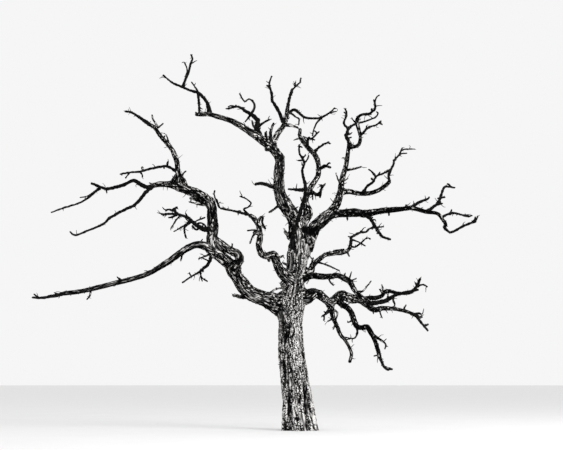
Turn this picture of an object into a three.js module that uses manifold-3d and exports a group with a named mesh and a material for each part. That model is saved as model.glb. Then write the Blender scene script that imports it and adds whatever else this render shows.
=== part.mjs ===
// A dead, leafless pine: a leaning trunk with a flat cut at the ground, gnarled boughs that taper from it,
// and masses of bare twigs at their ends. Millimetres, +Z up, the foot of the trunk at the origin.
import * as THREE from "three";
import { mergeVertices } from "three/addons/utils/BufferGeometryUtils.js";
import Module from "manifold-3d";

const wasm = await Module();
wasm.setup();

const METRE = 1000;

// The tree is laid out as it is seen: by an eye 1.2 m above the ground and 30 m off, looking up a little.
// A place on it is [right, up, near] in metres. Right and up are read on a sheet square to the line of
// sight that stands on the foot of the trunk, and near is how far toward the eye the place is.
const EYE = new THREE.Vector3(-0.46, -30.41, 1.2);
const LOOK_UP = THREE.MathUtils.degToRad(7.43);

// Sections and the steps along a piece
const TRUNK_SIDES = 24;
const THICK_LIMB = 0.175;
const THICK_SIDES = 7;
const THIN_SIDES = 5;
const TWIG_SIDES = 3;
const TRUNK_STEPS = 3;
const THICK_STEPS = 2;
const THIN_STEPS = 1;
const SEEDED_STEPS = 0.5;

// The foot: five root ridges that fade upwards
const RIDGES = 5;
const RIDGE_DEPTH = 0.13;
const RIDGE_TURN = 0.3;
const RIDGE_RISE = 0.55 * METRE;

// The trunk's folds: the degrees each faces, with 0 to the right and -90 to the eye, its lowest and highest
// end and its depth in metres. All are as wide, fade out over the same rise and wander to and fro together.
const FOLDS = [
  [-60, 0, 1.6, 0.036], [-135, 0, 2.2, 0.034], [-105, 0.9, 2.9, 0.026], [-30, 1.2, 2.6, 0.022],
  [15, 0, 1.8, 0.034], [90, 0, 2.4, 0.036], [165, 0, 1.7, 0.034], [-165, 2.1, 3.3, 0.024],
  [-75, 3.1, 4.6, 0.026], [120, 1.4, 3.4, 0.03], [60, 2, 4.2, 0.03], [30, 2.9, 4.4, 0.022],
  [-120, 3.6, 4.7, 0.022],
];
const FOLD_WIDTH = THREE.MathUtils.degToRad(9);
const FOLD_FADE = 0.3;
const WANDER = 0.12;
const WANDER_RISE = 2.1 / METRE;

// The trunk's slow swells: waves round it, their turn in radians per metre of height, their shift, and their
// share of the radius
const SWELLS = [
  [1, 3.4, 4, 0.02], [2, 1.3, 0.5, 0.035], [3, -2.2, 2.1, 0.03], [4, 1.7, 5.2, 0.02],
];

// How a limb swells where it leaves its parent, how uneven it is, and how thin its spurs end
const COLLAR = 0.35;
const LUMP = 0.07;
const WITHIN_PARENT = 0.8;
const SPUR_TIP = 0.35;

// A piece is as thick as its list says where that is much more than this, and nowhere thinner than this
const LEAST_THICK = 0.045;

// Seeded twigs: how thick both ends are, how much they follow their stem and how much they kink
const TWIG_ROOT = 0.03;
const TWIG_TIP = 0.012;
const FOLLOW = 0.7;
const KINK = 0.9;

// Neighbouring solids keep this far apart, and smaller edges left by a cut are closed
const CLEAR = 0.4;
const SMALLEST_EDGE = 0.02;

// Each limb grows from a place on another, given as its name and how many bends along it the place is,
// and goes on through its own bends. Thick is its thickness in metres, spread evenly from root to tip.
// A spur is [bends along, thickness, then steps to its own bends], and snags are how many short seeded
// stubs there are and how far they reach.
const LIMBS = {
  trunk: {
    thick: [0.86, 0.73, 0.67, 0.61, 0.63, 0.51, 0.49, 0.32],
    bends: [
      [0.01, 0, 0], [-0.06, 0.75, 0], [-0.15, 1.45, 0], [-0.24, 2.5, 0],
      [-0.22, 3.15, 0], [-0.13, 3.75, 0], [-0.04, 4.4, 0], [0.03, 4.95, 0],
    ],
    spurs: [
      [6.7, 0.2, [-0.2, 0, 0.06], [-0.28, 0.05, 0.06], [-0.4, 0.21, 0.06]],
      [5.6, 0.1, [-0.25, 0, 0.05], [-0.36, 0.05, 0.08]],
      [5, 0.34, [-0.2, -0.08, 0.06], [-0.36, -0.13, 0.1]],
      [5, 0.05, [0.33, 0.04, 0.1], [0.3, -0.1, 0.14]],
      [4.7, 0.06, [-0.41, -0.03, 0.12], [-0.62, -0.14, 0.2]],
    ],
    snags: [2, 0.3],
  },
  left_bough: {
    from: ["trunk", 4],
    thick: [0.38, 0.35, 0.33, 0.31, 0.3, 0.29, 0.27],
    bends: [
      [-0.55, 3.15, 0.05], [-0.77, 3.26, 0.12], [-1.04, 3.35, 0.2], [-1.3, 3.48, 0.3], [-1.49, 3.71, 0.38],
      [-1.64, 3.95, 0.45], [-1.77, 4.16, 0.5], [-1.99, 4.35, 0.55], [-2.21, 4.52, 0.6],
    ],
    spurs: [
      [4, 0.09, [-0.14, -0.12, 0.02], [-0.38, -0.12, 0.05]],
      [8.8, 0.07, [-0.13, -0.1, -0.1], [-0.38, -0.2, -0.2]],
    ],
    snags: [2, 0.22],
  },
  left_upright: {
    from: ["left_bough", 8.7],
    thick: [0.27, 0.26, 0.25, 0.24, 0.24, 0.23],
    bends: [
      [-2.2, 4.73, 0.58], [-2.17, 5.03, 0.5], [-2.2, 5.36, 0.38], [-2.21, 5.58, 0.28], [-2.3, 5.79, 0.2],
    ],
    snags: [2, 0.2],
  },
  left_loop: {
    from: ["left_bough", 6.2],
    thick: [0.22, 0.21, 0.2, 0.19, 0.16],
    bends: [
      [-1.58, 4.15, 0.7], [-1.51, 4.27, 0.78], [-1.56, 4.4, 0.75], [-1.7, 4.48, 0.68], [-1.91, 4.62, 0.6],
      [-2.18, 4.82, 0.52],
    ],
    spurs: [[4, 0.05, [0, 0.1, 0.02], [0.02, 0.2, 0.04]]],
    snags: [1, 0.15],
  },
  left_low_limb: {
    from: ["left_bough", 8.6],
    thick: [0.21, 0.18, 0.16, 0.13, 0.11, 0.1, 0.09, 0.085],
    bends: [
      [-2.45, 4.63, 0.75], [-2.78, 4.57, 0.95], [-3.34, 4.19, 1.35], [-3.89, 3.88, 1.7], [-4.82, 3.63, 2.3],
      [-5.45, 3.48, 2.7], [-5.91, 3.42, 3],
    ],
    spurs: [
      [2.3, 0.06, [-0.02, -0.12, 0], [-0.05, -0.26, 0]],
      [4.6, 0.05, [-0.13, 0.13, 0]],
      [5.6, 0.05, [-0.03, -0.16, 0], [-0.11, -0.27, 0.04]],
    ],
    snags: [3, 0.18],
  },
  crooked_arm: {
    from: ["left_upright", 4.6],
    thick: [0.24, 0.25, 0.24, 0.21, 0.17, 0.14, 0.12, 0.11],
    bends: [
      [-2.49, 5.87, 0.1], [-2.75, 5.98, -0.1], [-3, 6.08, -0.25], [-3.25, 6.14, -0.4],
      [-3.5, 6.15, -0.55], [-3.64, 6.12, -0.65], [-3.78, 6.07, -0.75],
    ],
    spurs: [
      [0.3, 0.08, [-0.05, -0.12, 0.05], [-0.27, -0.09, 0.1], [-0.46, -0.04, 0.15]],
      [3, 0.06, [0.03, 0.18, 0], [0.1, 0.36, 0], [0.17, 0.4, 0.02]],
    ],
    snags: [3, 0.2],
  },
  left_arc: {
    from: ["crooked_arm", 3],
    thick: [0.12, 0.1, 0.09, 0.085, 0.08, 0.075, 0.065],
    bends: [
      [-3.05, 6.46, -0.3], [-3.08, 6.72, -0.6], [-3.17, 6.97, -0.9], [-3.32, 7.17, -1.2],
      [-3.48, 7.35, -1.45], [-3.63, 7.56, -1.7], [-3.78, 7.66, -1.9],
    ],
    spurs: [
      [3.7, 0.04, [-0.03, 0.16, 0], [-0.08, 0.3, 0.05]],
      [5.8, 0.04, [0, 0.12, 0], [-0.08, 0.27, 0], [-0.1, 0.38, 0.05]],
      [5.9, 0.04, [0.1, 0.05, 0], [0.21, 0.14, 0]],
    ],
    snags: [2, 0.15],
  },
  hooked_limb_lower: {
    from: ["trunk", 5],
    thick: [0.22, 0.19, 0.17, 0.15, 0.13, 0.12, 0.11],
    bends: [
      [-0.42, 3.92, 0.35], [-0.55, 4.11, 0.7], [-0.63, 4.32, 1.05], [-0.67, 4.41, 1.2], [-0.85, 4.36, 1.3],
      [-0.99, 4.41, 1.4],
    ],
    spurs: [
      [4, 0.08, [0.13, -0.08, 0], [0.28, -0.04, 0]],
      [4.7, 0.09, [0.02, -0.1, 0], [0.03, -0.17, 0]],
    ],
    snags: [2, 0.17],
  },
  hooked_limb_upper: {
    from: ["hooked_limb_lower", 5.8],
    thick: [0.11, 0.11, 0.11, 0.1, 0.09, 0.08, 0.065],
    bends: [
      [-1.03, 4.6, 1.5], [-1, 4.78, 1.6], [-1, 4.95, 1.7], [-1.04, 5.13, 1.8], [-1.15, 5.3, 1.95],
      [-1.26, 5.38, 2.1],
    ],
    spurs: [
      [2.8, 0.04, [-0.15, -0.03, 0], [-0.26, -0.26, 0.04]],
      [3.1, 0.035, [-0.16, 0.04, 0], [-0.33, 0.02, 0.04]],
      [4.2, 0.04, [0.17, -0.1, 0]],
      [4.4, 0.04, [0.08, 0.14, 0]],
    ],
    snags: [2, 0.15],
  },
  left_leader: {
    from: ["trunk", 6.3],
    thick: [0.36, 0.34, 0.3, 0.28, 0.28, 0.27, 0.24, 0.21, 0.21, 0.22],
    bends: [
      [-0.05, 5.08, 0.08], [-0.13, 5.28, 0.12], [-0.27, 5.5, 0.18], [-0.41, 5.7, 0.22], [-0.5, 5.92, 0.27],
      [-0.52, 6.18, 0.33], [-0.53, 6.44, 0.38], [-0.5, 6.7, 0.43], [-0.52, 6.92, 0.48],
    ],
    spurs: [
      [3.6, 0.05, [-0.2, -0.03, 0], [-0.31, -0.11, 0], [-0.43, -0.18, 0.05]],
      [4.2, 0.05, [0.21, -0.15, 0.1], [0.3, -0.2, 0.15], [0.39, -0.15, 0.2]],
      [5.7, 0.08, [-0.2, 0.02, 0], [-0.37, 0.06, 0], [-0.63, 0.04, 0.05]],
    ],
    snags: [2, 0.2],
  },
  top_left_limb: {
    from: ["left_leader", 8.6],
    thick: [0.21, 0.2, 0.17, 0.15, 0.13, 0.11, 0.095, 0.08, 0.07, 0.04],
    bends: [
      [-0.72, 7.08, 0.65], [-0.96, 7.27, 0.85], [-1.26, 7.47, 1.15], [-1.51, 7.63, 1.4], [-1.75, 7.75, 1.6],
      [-2.05, 7.84, 1.85], [-2.26, 7.9, 2], [-2.51, 7.9, 2.2], [-2.61, 7.89, 2.3],
    ],
    spurs: [
      [0.6, 0.14, [-0.12, -0.05, 0], [-0.2, -0.08, 0]],
      [1.2, 0.06, [0, 0.12, 0], [0.05, 0.36, 0], [0.11, 0.55, 0.05]],
      [1.6, 0.05, [0.02, 0.12, 0], [0.02, 0.3, 0]],
    ],
    snags: [3, 0.17],
  },
  spire: {
    from: ["top_left_limb", 1],
    thick: [0.13, 0.11, 0.1, 0.09, 0.08],
    bends: [[-0.57, 7.39, 0.4], [-0.42, 7.6, 0.1], [-0.34, 7.81, -0.2], [-0.31, 8.05, -0.6]],
    spurs: [
      [2.2, 0.04, [0.2, -0.03, 0.05], [0.37, -0.09, 0.1]],
      [3.5, 0.04, [0.09, 0, 0.05], [0.21, -0.09, 0.1], [0.3, -0.15, 0.15], [0.29, -0.31, 0.2]],
    ],
    snags: [2, 0.15],
  },
  middle_limb_lower: {
    from: ["trunk", 6.8],
    thick: [0.24, 0.24, 0.25, 0.16, 0.13, 0.135, 0.12, 0.11],
    bends: [
      [0.09, 5.18, -0.12], [0.2, 5.42, -0.2], [0.13, 5.73, -0.4], [0.22, 5.98, -0.6], [0.36, 6.21, -0.8],
      [0.45, 6.37, -1], [0.48, 6.61, -1.3],
    ],
    spurs: [[6.6, 0.04, [0.06, 0.02, 0], [0.18, 0.08, 0.1], [0.3, 0.04, 0.2]]],
    snags: [2, 0.17],
  },
  middle_limb_upper: {
    from: ["middle_limb_lower", 6.8],
    thick: [0.11, 0.12, 0.12, 0.09, 0.07, 0.045],
    bends: [
      [0.42, 6.81, -1.7], [0.3, 6.97, -2], [0.14, 7.14, -2.4], [0, 7.35, -2.9], [0.01, 7.53, -3.3],
    ],
    spurs: [[3.7, 0.035, [-0.07, 0, 0], [-0.2, -0.04, 0.05]]],
    snags: [2, 0.15],
  },
  right_leader: {
    from: ["trunk", 6],
    thick: [0.42, 0.38, 0.31, 0.28, 0.25],
    bends: [[0.15, 4.78, -0.15], [0.41, 5.1, -0.25], [0.62, 5.31, -0.32], [0.84, 5.47, -0.4]],
    snags: [2, 0.2],
  },
  right_upright: {
    from: ["right_leader", 3.7],
    thick: [0.22, 0.2, 0.16, 0.14, 0.125, 0.11, 0.1, 0.09],
    bends: [
      [0.93, 5.68, -0.5], [1.01, 5.94, -0.65], [1.03, 6.13, -0.8], [1.08, 6.37, -1], [1.15, 6.61, -1.2],
      [1.19, 6.85, -1.4], [1.22, 7.07, -1.55],
    ],
    spurs: [
      [3.3, 0.05, [-0.09, 0.08, 0], [-0.15, 0.25, 0]],
      [3.4, 0.05, [0.1, 0.04, 0], [0.17, 0.09, 0]],
      [4.6, 0.05, [0.1, 0, 0.05], [0.25, 0.02, 0.1], [0.43, 0.08, 0.15]],
      [5.6, 0.05, [-0.07, 0.04, 0], [-0.13, 0.06, 0]],
    ],
    snags: [2, 0.17],
  },
  right_loop: {
    from: ["right_upright", 6.6],
    thick: [0.09, 0.09, 0.085, 0.08, 0.09, 0.09, 0.07, 0.05],
    bends: [
      [1.37, 7.09, -1.4], [1.48, 7.16, -1.25], [1.51, 7.33, -1.1], [1.48, 7.49, -1], [1.43, 7.68, -0.85],
      [1.44, 7.79, -0.8], [1.5, 7.87, -0.7], [1.61, 7.91, -0.6],
    ],
    spurs: [[5.2, 0.05, [-0.06, 0.01, 0], [-0.14, 0.11, 0]]],
    snags: [2, 0.14],
  },
  right_lower_arm: {
    from: ["right_upright", 2.1],
    thick: [0.1, 0.09, 0.085, 0.08, 0.075, 0.07, 0.06],
    bends: [
      [1.24, 5.97, -0.8], [1.43, 5.93, -0.95], [1.55, 5.92, -1.05], [1.76, 5.93, -1.25],
      [1.98, 6.01, -1.45], [2.16, 6.14, -1.65], [2.25, 6.23, -1.75],
    ],
    snags: [2, 0.15],
  },
  right_bough_inner: {
    from: ["right_leader", 3.6],
    thick: [0.2, 0.2, 0.19, 0.17, 0.14, 0.11, 0.09],
    bends: [
      [1, 5.42, -0.35], [1.35, 5.44, -0.15], [1.65, 5.42, 0.1], [2.08, 5.49, 0.5], [2.51, 5.53, 0.95],
      [2.82, 5.57, 1.3],
    ],
    spurs: [
      [1.5, 0.05, [0.02, -0.19, 0]],
      [4.3, 0.05, [0.02, -0.15, 0]],
      [5.8, 0.045, [0.17, 0.13, 0], [0.39, 0.22, -0.1]],
    ],
    snags: [2, 0.18],
  },
  right_bough_outer: {
    from: ["right_bough_inner", 5.9],
    thick: [0.085, 0.08, 0.075, 0.065, 0.055, 0.05, 0.045],
    bends: [
      [3, 5.51, 1.5], [3.17, 5.46, 1.65], [3.43, 5.42, 1.85], [3.55, 5.29, 2], [3.64, 5.16, 2.1],
      [3.6, 5.05, 2.15],
    ],
    snags: [2, 0.14],
  },
  rising_limb: {
    from: ["trunk", 5.35],
    thick: [0.16, 0.13, 0.1, 0.09, 0.08, 0.08, 0.075, 0.07, 0.065],
    bends: [
      [0.24, 3.96, -0.12], [0.32, 4.13, -0.25], [0.49, 4.28, -0.45], [0.64, 4.39, -0.65],
      [0.84, 4.42, -0.9], [1.03, 4.44, -1.15], [1.18, 4.49, -1.35], [1.27, 4.6, -1.5],
    ],
    spurs: [
      [2, 0.04, [-0.01, 0.1, 0], [0.02, 0.2, 0]],
      [2.5, 0.035, [0.13, -0.03, 0.1], [0.33, -0.1, 0.2], [0.6, -0.22, 0.35]],
      [4.9, 0.035, [0.05, 0.07, 0], [0.3, 0.11, 0]],
      [6.9, 0.035, [0.08, -0.15, 0]],
    ],
    snags: [2, 0.15],
  },
  right_mid_limb: {
    from: ["trunk", 5.05],
    thick: [0.17, 0.14, 0.13, 0.12, 0.12, 0.115, 0.11, 0.1, 0.1, 0.095, 0.09],
    bends: [
      [0.28, 3.87, 0.2], [0.46, 3.85, 0.35], [0.71, 3.84, 0.55], [0.95, 3.87, 0.75], [1.1, 3.8, 0.88],
      [1.23, 3.73, 0.98], [1.3, 3.63, 1.05], [1.4, 3.46, 1.15], [1.56, 3.31, 1.25], [1.79, 3.16, 1.35],
    ],
    spurs: [
      [3, 0.04, [0.04, -0.12, 0], [0.14, -0.23, 0.04]],
      [5, 0.04, [0.04, 0.15, 0]],
      [5.9, 0.04, [0.03, 0.1, 0], [0.08, 0.24, 0]],
      [6.1, 0.04, [0.18, 0.08, 0]],
      [8.1, 0.045, [0.16, 0.04, 0], [0.28, 0.18, 0], [0.38, 0.3, 0.05]],
    ],
    snags: [2, 0.15],
  },
  low_right_bough_inner: {
    from: ["trunk", 4.4],
    thick: [0.28, 0.25, 0.21, 0.19, 0.18, 0.19, 0.21, 0.22, 0.2, 0.17, 0.15],
    bends: [
      [0.17, 3.34, 0], [0.34, 3.42, -0.1], [0.49, 3.39, -0.25], [0.61, 3.29, -0.4], [0.74, 3.2, -0.5],
      [0.89, 3.29, -0.6], [1.06, 3.37, -0.7], [1.28, 3.29, -0.8], [1.48, 3.27, -0.9], [1.65, 3.15, -1],
    ],
    snags: [2, 0.18],
  },
  low_right_bough_outer: {
    from: ["low_right_bough_inner", 9.8],
    thick: [0.14, 0.12, 0.1, 0.08, 0.07, 0.06],
    bends: [
      [1.85, 3.02, -1.15], [2.05, 3.05, -1.3], [2.34, 3.04, -1.55], [2.59, 2.99, -1.8], [2.81, 2.92, -2],
    ],
    spurs: [
      [1.8, 0.05, [0, -0.1, 0], [0.06, -0.25, 0]],
      [4, 0.04, [0.03, 0.08, 0], [0.07, 0.16, 0]],
    ],
    snags: [2, 0.14],
  },
  upper_strand: {
    from: ["low_right_bough_inner", 9.1],
    thick: [0.09, 0.085, 0.08, 0.08, 0.075, 0.07, 0.065, 0.06, 0.055],
    bends: [
      [1.75, 3.31, -0.75], [1.89, 3.31, -0.6], [2.04, 3.36, -0.45], [2.12, 3.46, -0.35],
      [2.24, 3.48, -0.25],
      [2.44, 3.43, -0.05], [2.68, 3.43, 0.2], [2.83, 3.48, 0.35],
    ],
    spurs: [
      [3.2, 0.045, [0.02, 0.15, 0], [-0.02, 0.28, 0]],
      [3.4, 0.035, [-0.06, 0.1, 0], [-0.1, 0.14, 0]],
    ],
    snags: [2, 0.14],
  },
  near_drooping_limb: {
    from: ["low_right_bough_inner", 6.5],
    thick: [0.14, 0.13, 0.12, 0.11, 0.1, 0.1, 0.1, 0.1, 0.09, 0.085, 0.075, 0.06],
    bends: [
      [1.03, 3.18, -0.45], [1.18, 3.07, -0.2], [1.28, 2.95, 0], [1.35, 2.75, 0.3], [1.43, 2.6, 0.5],
      [1.55, 2.57, 0.65], [1.68, 2.58, 0.8], [1.77, 2.45, 0.95], [1.87, 2.26, 1.1], [1.95, 2.01, 1.3],
      [2, 1.81, 1.4],
    ],
    spurs: [
      [3.8, 0.04, [-0.08, -0.07, 0], [-0.16, -0.09, 0]],
      [5, 0.045, [0, -0.18, 0], [-0.08, -0.3, 0], [-0.32, -0.27, 0]],
      [8.2, 0.05, [0.17, -0.12, 0.05], [0.35, -0.26, 0.1], [0.33, -0.4, 0.12]],
      [10.6, 0.04, [-0.15, -0.03, 0]],
    ],
    snags: [2, 0.15],
  },
  far_drooping_limb: {
    from: ["low_right_bough_inner", 5],
    thick: [0.13, 0.11, 0.09, 0.07, 0.06, 0.055, 0.05, 0.06, 0.05],
    bends: [
      [0.79, 3, -0.7], [0.84, 2.8, -0.9], [0.93, 2.6, -1.1], [1.01, 2.4, -1.25], [1.13, 2.26, -1.4],
      [1.23, 2.08, -1.55], [1.29, 1.91, -1.7], [1.24, 1.69, -1.85],
    ],
    spurs: [
      [0.9, 0.045, [0.1, -0.03, 0.05], [0.15, -0.12, 0.1], [0.1, -0.3, 0.15]],
      [2, 0.04, [-0.16, -0.08, 0]],
      [2.7, 0.04, [-0.08, -0.15, 0]],
    ],
    snags: [2, 0.15],
  },
};

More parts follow.
